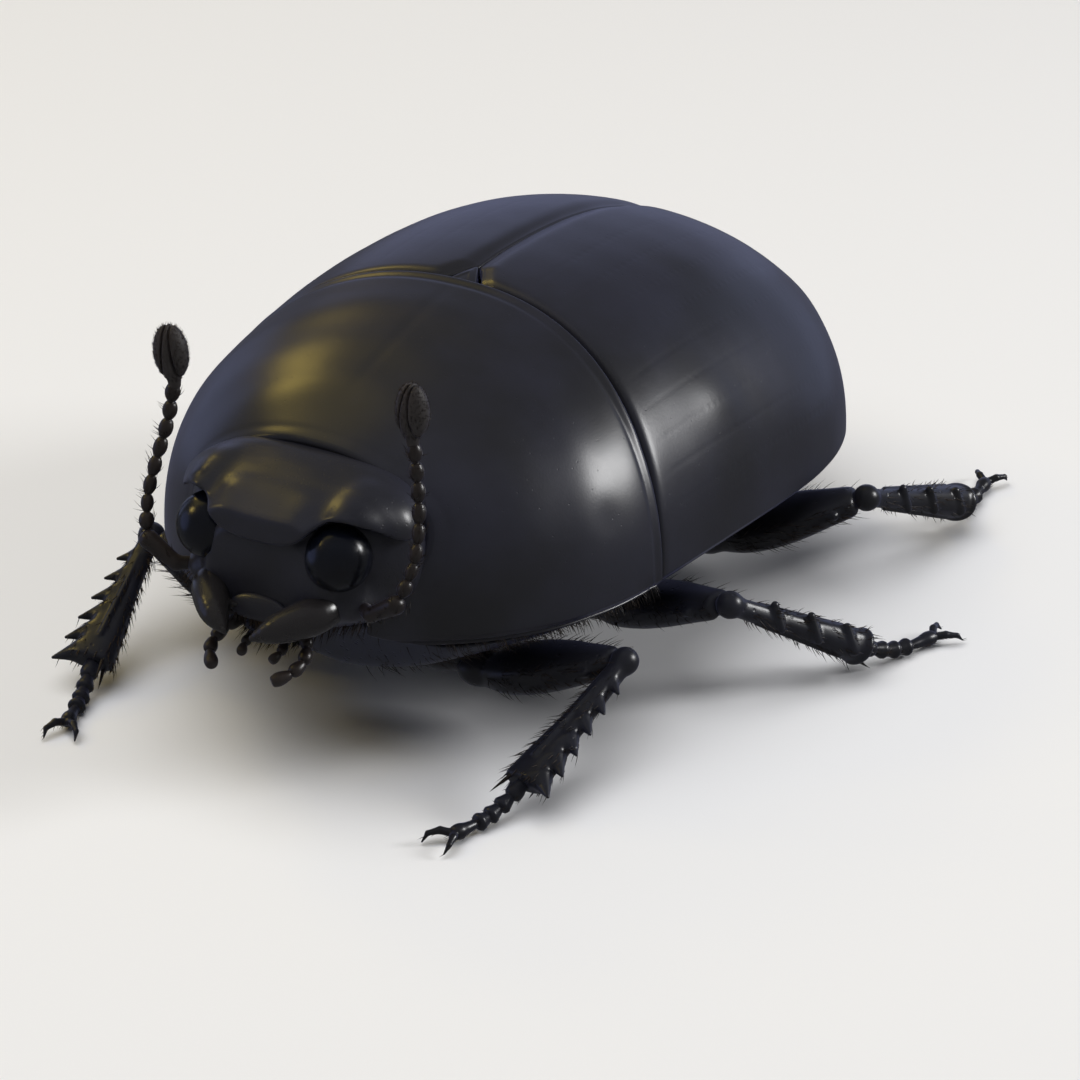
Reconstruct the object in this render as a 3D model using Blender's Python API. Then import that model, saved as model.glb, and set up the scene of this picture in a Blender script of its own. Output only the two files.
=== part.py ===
"""A life-size spring dor beetle, a smooth black dung beetle, standing on its six legs.

The head points along -Y, the beetle's left is +X and up is +Z. Shapes are worked out in
millimetres in the beetle's own frame, whose zero is the middle of the body on the floor,
and are stored in metres. Every body plate lies on one skin, a dome over a keel, which
skin_point() gives, so that neighbouring plates meet along shared lines with a thin gap.
"""

import math
from dataclasses import dataclass

import bmesh
import bpy
from mathutils import Vector

MM = 0.001

# Driving dimensions.
BODY_LENGTH = 20.0  # jaw tips to the ends of the wing cases
BODY_WIDTH = 12.0
BACK_HEIGHT = 8.52  # floor to the highest point of the back
BELLY_HEIGHT = 1.1
MIDDLE_HEIGHT = 3.3  # floor to the body's widest level, at the chest
GAP = 0.3  # between neighbouring plates
STANCE_SHIFT = -0.55  # puts the middle of the stance over the origin
PLATE = 0.7  # thickness of a wing case

# Lines across the body, along Y.
TAIL = 0.49 * BODY_LENGTH
WIDEST = 0.12 * BODY_LENGTH  # where the wing cases are widest
CROWN = 0.075 * BODY_LENGTH  # where the back is highest
COLLAR_FRONT = -0.35 * BODY_LENGTH
COLLAR_BACK = -0.065 * BODY_LENGTH
COLLAR_WIDEST = -0.12 * BODY_LENGTH
COLLAR_WIDTH = 0.96 * BODY_WIDTH
COLLAR_REACH = 5.93  # from its widest line to where its sides would meet
FRONT_CORNERS = 0.5  # how far the front corners of the collar reach past its middle
BACK_CORNERS = 1.4  # how far its back corners lie ahead of its middle
CHEST_EDGES = (-6.95, -2.45)
MIDDLE_EDGES = (-2.1, 0.2)
HIND_EDGES = (0.55, 3.5)
BELLY_EDGES = (3.85, 4.75, 5.65, 6.5, 7.3, 8.05)
TAIL_PLATE_EDGES = (8.36, 9.0)

# The skin's curves.
CASE_EDGE = math.radians(108)  # angle from the top where a wing case ends
COLLAR_EDGE = math.radians(104)
UNDER_EDGE = math.radians(114)  # where the plates under the body begin
FRONT_RUN = 11.4  # from the crown to where the back would meet the widest level
DOME_POWER = 2.2  # 2 is an ellipse, and more is squarer
BACK_POWERS = (2.1, 2.4)  # of the back's line, ahead of the crown and behind it
TAIL_POWER = 2.4  # of the wing cases' end, seen from above
KEEL_POWER = 1.35  # a flat V, which leaves room for the thighs
SINK = 0.04  # how steeply the widest level falls towards the tail

# The head: place along Y, half width, top and bottom of each section.
HEAD_SECTIONS = (
    (-7.0, 1.6, 6.1, 3.5),
    (-7.15, 2.2, 6.4, 3.2),
    (-7.5, 2.62, 6.62, 3.12),
    (-7.8, 2.66, 6.62, 3.15),
    (-8.3, 2.4, 6.5, 3.25),
    (-8.7, 2.0, 6.36, 3.36),
    (-9.0, 1.64, 6.22, 3.5),
    (-9.24, 1.34, 6.08, 3.68),
    (-9.3, 1.2, 6.04, 5.34),
    (-9.46, 0.95, 5.94, 5.56),
)
HEAD_POWER = 2.5
EYE_CENTRE = (1.56, -8.74, 5.27)
EYE_RADIUS = 0.72
JAW_STOPS = (
    (1.34, -9.04, 4.12),
    (1.2, -9.28, 4.07),
    (0.98, -9.55, 4.0),
    (0.7, -9.84, 3.9),
    (0.34, -10.07, 3.75),
)
LIP_CENTRE = (0, -9.26, 4.1)
LIP_RADII = (0.46, 0.2, 0.3)
PALP_STOPS = ((0.62, -8.85, 2.8), (0.98, -9.3, 2.64), (0.95, -9.7, 2.6), (0.66, -10.05, 2.56))
FEELER_STOPS = (
    (2.3, -8.8, 4.24),
    (2.98, -8.86, 4.62),
    (3.24, -8.5, 5.6),
    (3.12, -8.1, 6.6),
    (2.89, -7.94, 7.7),
)
CLUB_STOPS = ((2.86, -7.92, 7.98), (2.88, -7.96, 8.6), (2.92, -8.0, 9.15))
CLUB_HALF = (0.37, 0.31)
SHIELD_HALF_WIDTH = 0.46  # of the scutellum, the small shield between the wing cases
SHIELD_LENGTH = 0.78

# Finishes: name, colour, roughness.
SHELL = ("shell", (0.018, 0.019, 0.024), 0.3)
UNDERSIDE = ("underside", (0.014, 0.016, 0.026), 0.4)
LEG = ("leg", (0.016, 0.016, 0.019), 0.35)
EYE = ("eye", (0.006, 0.006, 0.007), 0.08)
JAW = ("jaw", (0.014, 0.012, 0.011), 0.22)
FEELER = ("feeler", (0.03, 0.022, 0.018), 0.45)


def arch(y, centre, reach, power=2.0):
    """1 at the centre of an arch, falling to 0 at its reach."""
    run = min(1.0, abs(y - centre) / reach)
    return (1 - run**power) ** (1 / power)


def blend(low, high, share):
    return low + (high - low) * share


def spread(ends, count):
    """Evenly spaced numbers from one end to the other."""
    return [blend(*ends, i / (count - 1)) for i in range(count)]


def smooth_step(share):
    share = min(1.0, max(0.0, share))
    return share * share * (3 - 2 * share)


def signed_power(value, power):
    return math.copysign(abs(value) ** power, value)


# The skin.


def skin_middle(y):
    """Height of the body's widest line: level over the chest, sinking to the tail."""
    return MIDDLE_HEIGHT - SINK * (y + math.hypot(y, 2))


def half_width(y):
    """Half the width of the body seen from above."""
    widest = BODY_WIDTH / 2
    collar = COLLAR_WIDTH / 2
    if y <= COLLAR_WIDEST:
        return collar * arch(y, COLLAR_WIDEST, COLLAR_REACH)
    if y >= WIDEST:
        return widest * arch(y, WIDEST, TAIL - WIDEST, TAIL_POWER)
    return widest - (widest - collar) * ((WIDEST - y) / (WIDEST - COLLAR_WIDEST)) ** 2


def back_rise(y):
    """Height of the back over the widest line."""
    behind = y > CROWN
    reach = TAIL - CROWN if behind else FRONT_RUN
    return (BACK_HEIGHT - MIDDLE_HEIGHT) * arch(y, CROWN, reach, BACK_POWERS[behind])


def belly_drop(y):
    """Depth of the belly under the widest line."""
    return (MIDDLE_HEIGHT - BELLY_HEIGHT) * arch(y, 0, 1.04 * TAIL, 3)


def skin_point(y, angle, inset=0.0):
    """A point of the skin. Angle 0 is the back, a quarter turn the side, a half turn the belly."""
    rise = math.cos(angle)
    power = 2 / (DOME_POWER if rise > 0 else KEEL_POWER)
    height = back_rise(y) if rise > 0 else belly_drop(y)
    x = max(0.0, half_width(y) - inset) * signed_power(math.sin(angle), power)
    z = max(0.0, height - inset) * signed_power(rise, power)
    return Vector((x, y, skin_middle(y) + z))


def collar_front(angle):
    return COLLAR_FRONT - FRONT_CORNERS * abs(math.sin(angle)) ** 3


def collar_back(angle):
    return COLLAR_BACK - BACK_CORNERS * math.sin(angle) ** 2


def collar_floor(y, x):
    """Height of the collar's hidden lower face, which the plates under it meet."""
    edge = skin_point(y, COLLAR_EDGE)
    return edge.z + 0.35 * smooth_step(1 - abs(x) / edge.x) + 0.1


# Making objects.


def material(finish):
    """The material of a finish, made once."""
    name, colour, roughness = finish
    found = bpy.data.materials.get(name)
    if found:
        return found
    made = bpy.data.materials.new(name)
    made.use_nodes = True
    shader = made.node_tree.nodes["Principled BSDF"]
    shader.inputs["Base Color"].default_value = (*colour, 1)
    shader.inputs["Roughness"].default_value = roughness
    return made


def piece(name, shape, finish, parent):
    """An object from points in millimetres and faces. With no finish it is a hidden cutter."""
    points, faces = shape
    mesh = bpy.data.meshes.new(name)
    mesh.from_pydata([Vector(p) * MM for p in points], [], faces)
    work = bmesh.new()
    work.from_mesh(mesh)
    bmesh.ops.remove_doubles(work, verts=work.verts, dist=0.002 * MM)
    bmesh.ops.recalc_face_normals(work, faces=work.faces)
    work.to_mesh(mesh)
    work.free()
    obj = bpy.data.objects.new(name, mesh)
    bpy.context.scene.collection.objects.link(obj)
    obj.parent = parent
    if finish is None:
        obj.hide_render = True
        obj.display_type = "WIRE"
    else:
        mesh.materials.append(material(finish))
        mesh.shade_smooth()
        mesh.set_sharp_from_angle(angle=math.radians(40))
    return obj


def mirrored(shape):
    points, faces = shape
    return [Vector((-p[0], p[1], p[2])) for p in points], faces


def both_sides(name, shape, finish, parent):
    """The left piece and its mirror image, named NAME_left and NAME_right."""
    left = piece(f"{name}_left", shape, finish, parent)
    right = piece(f"{name}_right", mirrored(shape), finish, parent)
    return left, right


def combine(obj, other, operation):
    """Cuts another object's shape from obj, or joins it on."""
    step = obj.modifiers.new(other.name, "BOOLEAN")
    step.operation = operation
    step.object = other
    step.solver = "EXACT"


# Basic shapes.


def loft(rings):
    """Points and faces of a tube through rings of equal count, with its ends closed to their middles."""
    count = len(rings[0])
    points = [p for ring in rings for p in ring]
    faces = []
    for i in range(len(rings) - 1):
        for j in range(count):
            k = (j + 1) % count
            faces.append((i * count + j, i * count + k, (i + 1) * count + k, (i + 1) * count + j))
    for start, ring in ((0, rings[0]), ((len(rings) - 1) * count, rings[-1])):
        points.append(sum(ring, Vector()) / count)
        hub = len(points) - 1
        faces += [(start + j, start + (j + 1) % count, hub) for j in range(count)]
    return points, faces


def shell(outer, inner, rows, columns):
    """A closed plate from two grids of points, joined round their edges."""
    shift = rows * columns
    faces = []
    for i in range(rows - 1):
        for j in range(columns - 1):
            a, b = i * columns + j, (i + 1) * columns + j
            faces.append((a, a + 1, b + 1, b))
            faces.append((shift + a, shift + b, shift + b + 1, shift + a + 1))
    for i in range(rows - 1):
        for j, turn in ((0, 1), (columns - 1, -1)):
            a, b = i * columns + j, (i + 1) * columns + j
            faces.append((a, b, shift + b, shift + a)[::turn])
    for j in range(columns - 1):
        for i, turn in ((0, 1), (rows - 1, -1)):
            a, b = i * columns + j, i * columns + j + 1
            faces.append((a, shift + a, shift + b, b)[::turn])
    return outer + inner, faces


def oval(centre, along, across, half_along, half_across, sides, power=2.0):
    """A ring of points on a rounded oval in the plane of two unit vectors."""
    ring = []
    for j in range(sides):
        turn = math.tau * j / sides
        a = half_along * signed_power(math.cos(turn), 2 / power)
        b = half_across * signed_power(math.sin(turn), 2 / power)
        ring.append(centre + along * a + across * b)
    return ring


def limb_axes(axis, flat):
    """Unit vectors across a limb: one in its broad plane, one along the normal closest to flat."""
    normal = (flat - axis * flat.dot(axis)).normalized()
    return axis.cross(normal).normalized(), normal


def curve_points(stops, count):
    """Evenly shared points of a smooth curve through the stops."""
    stops = [Vector(p) for p in stops]
    padded = [2 * stops[0] - stops[1], *stops, 2 * stops[-1] - stops[-2]]
    found = []
    for place in spread((0, len(stops) - 1), count + 1):
        k = min(int(place), len(stops) - 2)
        t = place - k
        p0, p1, p2, p3 = padded[k : k + 4]
        bend = 2 * p0 - 5 * p1 + 4 * p2 - p3
        twist = 3 * p1 - p0 - 3 * p2 + p3
        found.append(p1 + 0.5 * ((p2 - p0) * t + bend * t**2 + twist * t**3))
    return found


def limb(stops, size, steps, flat=(0, 0, 1), sides=8, floor=None):
    """A limb along a smooth curve. size(share) gives its half sizes, across and through.

    Points under the floor are laid on it.
    """
    path = curve_points(stops, steps)
    rings = []
    for i, centre in enumerate(path):
        ahead, behind = path[min(i + 1, steps)], path[max(i - 1, 0)]
        side, normal = limb_axes((ahead - behind).normalized(), Vector(flat))
        ring = oval(centre, side, normal, *size(i / steps), sides)
        if floor is not None:
            ring = [Vector((p.x, p.y, max(p.z, floor))) for p in ring]
        rings.append(ring)
    return loft(rings)


def ball(centre, radii, sides=10, grow=0.0):
    """An ellipsoid whose poles point along X."""
    centre = Vector(centre)
    rx, ry, rz = (r + grow for r in radii)
    rings = []
    for i in range(1, sides // 2):
        turn = math.tau * i / sides
        middle = centre - Vector((rx * math.cos(turn), 0, 0))
        size = math.sin(turn)
        rings.append(oval(middle, Vector((0, 1, 0)), Vector((0, 0, 1)), ry * size, rz * size, sides))
    points, faces = loft(rings)
    points[-2] = centre - Vector((rx, 0, 0))
    points[-1] = centre + Vector((rx, 0, 0))
    return points, faces


def beads(count, low, high):
    """The size of a limb of equal segments, each swelling away from its root."""

    def size(share):
        swell = math.sin(math.pi * min(0.98, (share * count) % 1.0)) ** 0.8
        return (blend(low, high, swell),) * 2

    return size


def taper(broad, thick):
    """The size of a limb that narrows, from pairs of half sizes at its root and its tip."""
    return lambda share: (blend(*broad, share), blend(*thick, share))


# The body.


def collar():
    """The pronotum: a domed shield over the front third of the body."""
    arc = spread((-COLLAR_EDGE, COLLAR_EDGE), 19)
    rims = {0: 0.28, 0.02: 0.04, 0.98: 0.04, 1: 0.25}  # the rounded front and back edges
    rings = []
    for share in (0, 0.02, 0.15, 0.32, 0.5, 0.68, 0.85, 0.98, 1):
        inset = rims.get(share, 0)
        ring = []
        for angle in arc:
            y = blend(collar_front(angle), collar_back(angle), share)
            ring.append(skin_point(y, angle, inset))
        edge = ring[-1]
        middle = blend(COLLAR_FRONT, COLLAR_BACK, share)
        for inward in spread((0.25, 1.75), 7):
            x = edge.x * (1 - inward)
            y = blend(edge.y, middle, 1 - abs(1 - inward))
            ring.append(Vector((x, y, collar_floor(y, x))))
        rings.append(ring)
    return loft(rings)


def under_plate(edges, count, inset):
    """A plate under the front of the body, between two lines across it, below the collar."""
    rings = []
    for y in spread(edges, count):
        ring = [skin_point(y, angle, inset) for angle in spread((UNDER_EDGE, math.tau - UNDER_EDGE), 13)]
        for share in spread((-0.75, 0.75), 7):
            x = ring[0].x * share
            ring.append(Vector((x, y, collar_floor(y, x) - GAP)))
        rings.append(ring)
    return loft(rings)


def trunk_ring(y, ridge=0.0):
    """A closed ring under the wing cases, with the belly's own outline below."""
    ring = []
    for angle in spread((-math.pi, math.pi), 21)[:-1]:
        inset = PLATE + 2.2 * GAP
        if math.cos(angle) < 0:
            inset -= 0.9 * smooth_step(-1.4 * math.cos(angle)) + ridge
        ring.append(skin_point(y, angle, inset))
    return ring


def abdomen():
    """Five overlapping belly rings."""
    rings = []
    for front, back in zip(BELLY_EDGES, BELLY_EDGES[1:]):
        rings.append(trunk_ring(front))
        rings.append(trunk_ring(back - 0.05, ridge=0.09))
    return loft(rings)


def shield_half_width(y):
    """Half width of the scutellum, which runs to a point."""
    share = (y - COLLAR_BACK) / SHIELD_LENGTH
    return SHIELD_HALF_WIDTH * (1 - min(1.0, max(0.0, share))) ** 0.8


def scutellum():
    front, tip = COLLAR_BACK + GAP, COLLAR_BACK + SHIELD_LENGTH
    rings = []
    for share in (0, 0.08, 0.36, 0.68, 1):
        y = blend(front, tip, share)
        top = skin_point(y, 0, 0.1 if share > 0 else 0.25).z
        half = max(0.12, shield_half_width(y))
        low, shoulder = top - 0.7, top - 0.08
        outline = ((-half, low), (half, low), (half, shoulder), (0, top), (-half, shoulder))
        rings.append([Vector((x, y, z)) for x, z in outline])
    return loft(rings)


def wing_case():
    """The left wing case: a shell that wraps the side of the body and narrows to the tail."""
    rows, columns = 13, 10
    end = TAIL - 0.04
    outer, inner = [], []
    for i in range(rows):
        share = math.sin(math.pi / 2 * i / (rows - 1))
        for j in range(columns):
            across = j / (columns - 1)
            y = blend(collar_back(CASE_EDGE * across) + GAP, end, share)
            suture = GAP / 2
            if y < COLLAR_BACK + SHIELD_LENGTH + GAP:
                suture = max(suture, shield_half_width(y) + GAP)
            for grid, inset in ((outer, 0.22 if i == 0 else 0.0), (inner, PLATE)):
                start = math.asin(min(0.97, suture / max(0.3, half_width(y) - inset)))
                p = skin_point(min(y, end - inset), blend(start, CASE_EDGE, across), inset)
                p.x = max(p.x, suture)
                grid.append(p)
    return shell(outer, inner, rows, columns)


def build_body(root):
    """The plates of the body, and those that carry each pair of legs by the pair's name."""
    head_cutter = piece("head_cutter", head(GAP), None, root)
    shield = piece("pronotum", collar(), SHELL, root)
    hind_chest = loft([trunk_ring(y) for y in spread(HIND_EDGES, 4)])
    plates = {
        "front": piece("prosternum", under_plate(CHEST_EDGES, 7, 0.12), UNDERSIDE, root),
        "middle": piece("mesosternum", under_plate(MIDDLE_EDGES, 5, 0.2), UNDERSIDE, root),
        "hind": piece("metasternum", hind_chest, UNDERSIDE, root),
    }
    combine(shield, head_cutter, "DIFFERENCE")
    combine(plates["front"], head_cutter, "DIFFERENCE")
    piece("scutellum", scutellum(), SHELL, root)
    both_sides("elytron", wing_case(), SHELL, root)
    piece("abdomen", abdomen(), UNDERSIDE, root)
    tail_plate = loft([trunk_ring(y, ridge=0.05) for y in spread(TAIL_PLATE_EDGES, 4)])
    piece("pygidium", tail_plate, UNDERSIDE, root)
    return plates


# The head.


def head(grow=0.0):
    rings = []
    for y, half, top, bottom in HEAD_SECTIONS:
        if y == HEAD_SECTIONS[0][0]:
            y += grow
        if y == HEAD_SECTIONS[-1][0]:
            y -= grow
        centre = Vector((0, y, (top + bottom) / 2))
        across, up = Vector((1, 0, 0)), Vector((0, 0, 1))
        rings.append(oval(centre, across, up, half + grow, (top - bottom) / 2 + grow, 20, HEAD_POWER))
    return loft(rings)


def jaw(grow=0.0):
    """A sickle jaw, broad at its root."""
    root, second = Vector(JAW_STOPS[0]), Vector(JAW_STOPS[1])
    stops = (root + (root - second).normalized() * grow, *JAW_STOPS[1:])
    return limb(stops, taper((0.37 + grow, 0.15 + grow), (0.3 + grow, 0.15 + grow)), 8)


def feeler_club():
    """The leaf-shaped club: three plates closed together."""
    across, through = CLUB_HALF
    return limb(
        CLUB_STOPS, lambda t: (across * arch(t, 0.55, 0.6), through * arch(t, 0.55, 0.6)), 7, (0, 1, 0)
    )


def build_head(root):
    skull = piece("head", head(), SHELL, root)
    eye_radii = (EYE_RADIUS,) * 3
    both_sides("eye", ball(EYE_CENTRE, eye_radii, 12), EYE, root)
    both_sides("mandible", jaw(), JAW, root)
    both_sides("palp", limb(PALP_STOPS, beads(3, 0.25, 0.3), 9, sides=6), FEELER, root)
    both_sides("antenna", limb(FEELER_STOPS, beads(5, 0.26, 0.32), 15, (0, 1, 0), sides=6), FEELER, root)
    both_sides("antenna_club", feeler_club(), FEELER, root)
    piece("labrum", ball(LIP_CENTRE, LIP_RADII), JAW, root)
    eye_sockets = both_sides("eye_socket", ball(EYE_CENTRE, eye_radii, 12, GAP), None, root)
    jaw_sockets = both_sides("jaw_socket", jaw(GAP), None, root)
    lip_socket = piece("lip_socket", ball(LIP_CENTRE, LIP_RADII, grow=GAP), None, root)
    for cutter in (*eye_sockets, *jaw_sockets, lip_socket):
        combine(skull, cutter, "DIFFERENCE")


# The legs.


@dataclass
class Leg:
    """One pair of legs. Points are for the left side, and sizes are half sizes across and through."""

    name: str
    coxa: tuple
    coxa_radii: tuple
    hip: tuple
    knee: tuple
    ankle: tuple
    toe: tuple
    thigh: tuple
    shin: tuple  # at its broad end
    teeth: int  # along the outer edge of the tibia
    knee_gap: float  # how far each limb stops short of the knee's centre

    def __post_init__(self):
        for name in ("hip", "knee", "ankle", "toe"):
            setattr(self, name, Vector(getattr(self, name)))
        self.thigh_run = (self.knee - self.hip).normalized()
        self.shin_run = (self.ankle - self.knee).normalized()

    def femur(self):
        """The thigh, a flattened spindle."""
        broad, thick = self.thigh

        def size(share):
            ends = min(1.0, (share + 0.03) / 0.1, (1.05 - share) / 0.12) ** 0.5
            swell = math.sin(math.pi * (0.12 + 0.86 * share))
            return broad * (0.45 + 0.55 * swell) * ends, thick * (0.6 + 0.4 * swell) * ends

        return limb((self.hip, self.knee - self.thigh_run * self.knee_gap), size, 8, sides=10)

    def tibia(self):
        """The shin, which broadens to the ankle and is toothed along its outer edge."""
        broad, thick = self.shin
        start = self.knee + self.shin_run * self.knee_gap
        normal, outward = limb_axes(self.shin_run, Vector((1, 0, 0.25)))
        steps = 3 * self.teeth + 1
        rings = []
        for i in range(steps + 1):
            share = i / steps
            half, depth = blend(0.3, broad, share**0.8), blend(0.28, thick, share)
            tooth = (0.1, 0.0, 0.34)[i % 3] * (0.4 + 0.6 * share)
            middle = start.lerp(self.ankle, share)
            ring = []
            for point in oval(Vector(), outward, normal, half, depth, 8):
                out = max(0.0, point.dot(outward) / half)
                ring.append(middle + point + (outward + self.shin_run * 0.5) * (tooth * out**3))
            rings.append(ring)
        return loft(rings)

    def tarsus(self):
        """The five-part foot, which lies flat on the floor."""
        start = self.ankle + self.shin_run * 0.12 + (self.toe - self.ankle).normalized() * 0.34
        start.z = max(start.z, 0.36)
        middle = start.lerp(self.toe, 0.5)
        middle.z = 0.24
        return limb((start, middle, self.toe), beads(5, 0.25, 0.31), 15, sides=6, floor=0.0)

    def claws(self):
        """The two hooked claws, on the end of the tarsus."""
        run = self.toe - self.ankle
        run.z = 0
        run.normalize()
        side = run.cross(Vector((0, 0, 1)))
        up = Vector((0, 0, 1))
        root = self.toe - run * 0.1 + up * 0.02
        found = []
        for turn in (-1, 1):
            middle = root + run * 0.32 + side * (turn * 0.3) + up * 0.04
            tip = root + run * 0.62 + side * (turn * 0.42) - up * 0.12
            found.append(limb((root, middle, tip), taper((0.2, 0.08), (0.2, 0.08)), 3, sides=5))
        return found


LEGS = (
    Leg(
        "front",
        coxa=(1.5, -4.6, 1.75),
        coxa_radii=(0.95, 0.75, 0.85),
        hip=(2.6, -4.7, 1.15),
        knee=(5.9, -4.6, 2.2),
        ankle=(5.35, -7.75, 0.72),
        toe=(4.75, -9.6, 0.22),
        thigh=(0.78, 0.5),
        shin=(0.62, 0.36),
        teeth=6,
        knee_gap=0.44,
    ),
    Leg(
        "middle",
        coxa=(2.0, -0.45, 1.6),
        coxa_radii=(0.85, 0.7, 0.75),
        hip=(3.05, -0.55, 1.05),
        knee=(6.7, -1.5, 2.35),
        ankle=(8.5, 1.0, 0.72),
        toe=(9.3, 3.1, 0.22),
        thigh=(0.78, 0.48),
        shin=(0.52, 0.42),
        teeth=3,
        knee_gap=0.3,
    ),
    Leg(
        "hind",
        coxa=(2.5, 3.05, 1.5),
        coxa_radii=(1.35, 0.55, 0.65),
        hip=(3.6, 3.7, 0.98),
        knee=(6.7, 4.9, 2.2),
        ankle=(7.2, 8.5, 0.72),
        toe=(6.9, 10.75, 0.22),
        thigh=(0.85, 0.48),
        shin=(0.56, 0.42),
        teeth=3,
        knee_gap=0.3,
    ),
)


def build_legs(root, plates):
    for leg in LEGS:
        both_sides(f"{leg.name}_coxa", ball(leg.coxa, leg.coxa_radii), LEG, root)
        socket = ball(leg.coxa, leg.coxa_radii, grow=GAP)
        for cutter in both_sides(f"{leg.name}_coxa_socket", socket, None, root):
            combine(plates[leg.name], cutter, "DIFFERENCE")
        both_sides(f"{leg.name}_femur", leg.femur(), LEG, root)
        both_sides(f"{leg.name}_tibia", leg.tibia(), LEG, root)
        feet = both_sides(f"{leg.name}_tarsus", leg.tarsus(), LEG, root)
        for number, claw in enumerate(leg.claws()):
            for foot, hook in zip(feet, both_sides(f"{leg.name}_claw_{number}", claw, None, root)):
                combine(foot, hook, "UNION")


def main():
    for obj in list(bpy.data.objects):
        bpy.data.objects.remove(obj)
    root = bpy.data.objects.new("beetle", None)
    bpy.context.scene.collection.objects.link(root)
    root.location = (0, STANCE_SHIFT * MM, 0)
    plates = build_body(root)
    build_head(root)
    build_legs(root, plates)


main()
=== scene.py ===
"""A life-size spring dor beetle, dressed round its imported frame.

Every plate, limb and bristle is shaped here in millimetres, in the beetle's own frame: the
head points along -Y, the beetle's left is +X and the floor is at zero height. Plates are
grids laid on the body's skin, and the head, jaws, chest and legs are solids blended from
simple forms and then meshed. Each finish is built from nodes, and a small studio of soft
lamps and a pale floor shows the beetle.
"""

import logging
import math
from collections.abc import Callable, Sequence
from dataclasses import dataclass
from enum import Enum
from itertools import pairwise

import bpy
import numpy as np
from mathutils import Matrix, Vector


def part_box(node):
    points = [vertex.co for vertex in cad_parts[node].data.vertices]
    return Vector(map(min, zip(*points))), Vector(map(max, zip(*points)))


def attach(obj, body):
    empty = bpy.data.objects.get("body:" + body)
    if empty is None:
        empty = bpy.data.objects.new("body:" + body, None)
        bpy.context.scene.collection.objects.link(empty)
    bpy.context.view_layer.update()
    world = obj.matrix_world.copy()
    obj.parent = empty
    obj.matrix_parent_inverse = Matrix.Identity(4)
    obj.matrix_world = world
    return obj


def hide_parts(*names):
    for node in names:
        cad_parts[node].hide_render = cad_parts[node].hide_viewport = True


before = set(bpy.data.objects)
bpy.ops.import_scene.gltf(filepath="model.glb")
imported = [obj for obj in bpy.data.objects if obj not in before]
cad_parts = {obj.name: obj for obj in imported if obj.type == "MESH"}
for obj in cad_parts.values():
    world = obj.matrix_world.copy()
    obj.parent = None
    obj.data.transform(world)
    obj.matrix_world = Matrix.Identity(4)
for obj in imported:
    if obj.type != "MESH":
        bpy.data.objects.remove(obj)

Array = np.ndarray
Point = Sequence[float]
Distance = Callable[[Array], Array]
Chooser = Callable[[Array, Array], Array]  # tells from points and normals which of them to take

MM = 0.001
LOG = logging.getLogger("beetle")
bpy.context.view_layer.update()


# Numbers and curves.


def smooth_step(share: Array) -> Array:
    """Eases from 0 to 1 with level ends."""
    share = np.clip(share, 0.0, 1.0)
    return share * share * (3.0 - 2.0 * share)


def hill(offset: Array, width: float) -> Array:
    """A rounded hill, 1 at no offset and near 0 past two widths."""
    return np.exp(-((offset / width) ** 2))


def signed_power(value: Array, power: Array | float) -> Array:
    """Raises the size of a value to a power and keeps its sign."""
    return np.copysign(np.abs(value) ** power, value)


def left_side(points: Array) -> Array:
    """Points with those of the right side mirrored to the left."""
    return np.abs(points) * (1, 0, 0) + points * (0, 1, 1)


def rounded_size(parts: Sequence[Array], power: Array | float) -> Array:
    """The size of a point against a rounded section, from its parts along the section's axes."""
    return sum(np.abs(part) ** power for part in parts) ** (1 / power)


def unit(vector: Point) -> Array:
    """The vector at length one."""
    vector = np.asarray(vector, float)
    return vector / np.linalg.norm(vector)


def unit_rows(vectors: Array) -> Array:
    """Each row at length one."""
    return vectors / np.maximum(np.linalg.norm(vectors, axis=1, keepdims=True), 1e-12)


@dataclass(frozen=True)
class Curve:
    """A smooth curve through stops, read by a share from 0 to 1.

    The stops may be numbers or points. They are evenly shared unless places says otherwise.
    """

    stops: Sequence
    places: Sequence[float] | None = None

    def at(self, share: Array) -> Array:
        """Reads the curve.

        Args:
            share: Places along the curve.

        Returns:
            The curve's values there, one row for each place.
        """
        stops = np.asarray(self.stops, float)
        places = np.linspace(0, 1, len(stops)) if self.places is None else np.asarray(self.places, float)
        slopes = np.gradient(stops, places, axis=0)
        share = np.clip(share, places[0], places[-1])
        k = np.clip(np.searchsorted(places, share, "right") - 1, 0, len(stops) - 2)
        span = places[k + 1] - places[k]
        t = (share - places[k]) / span
        if stops.ndim == 2:
            t, span = np.asarray(t)[..., None], np.asarray(span)[..., None]
        start, end = stops[k], stops[k + 1]
        rise = slopes[k] * span * t * (1 - t) ** 2 - slopes[k + 1] * span * t**2 * (1 - t)
        return start + (end - start) * t * t * (3 - 2 * t) + rise


# Surfaces.


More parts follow.
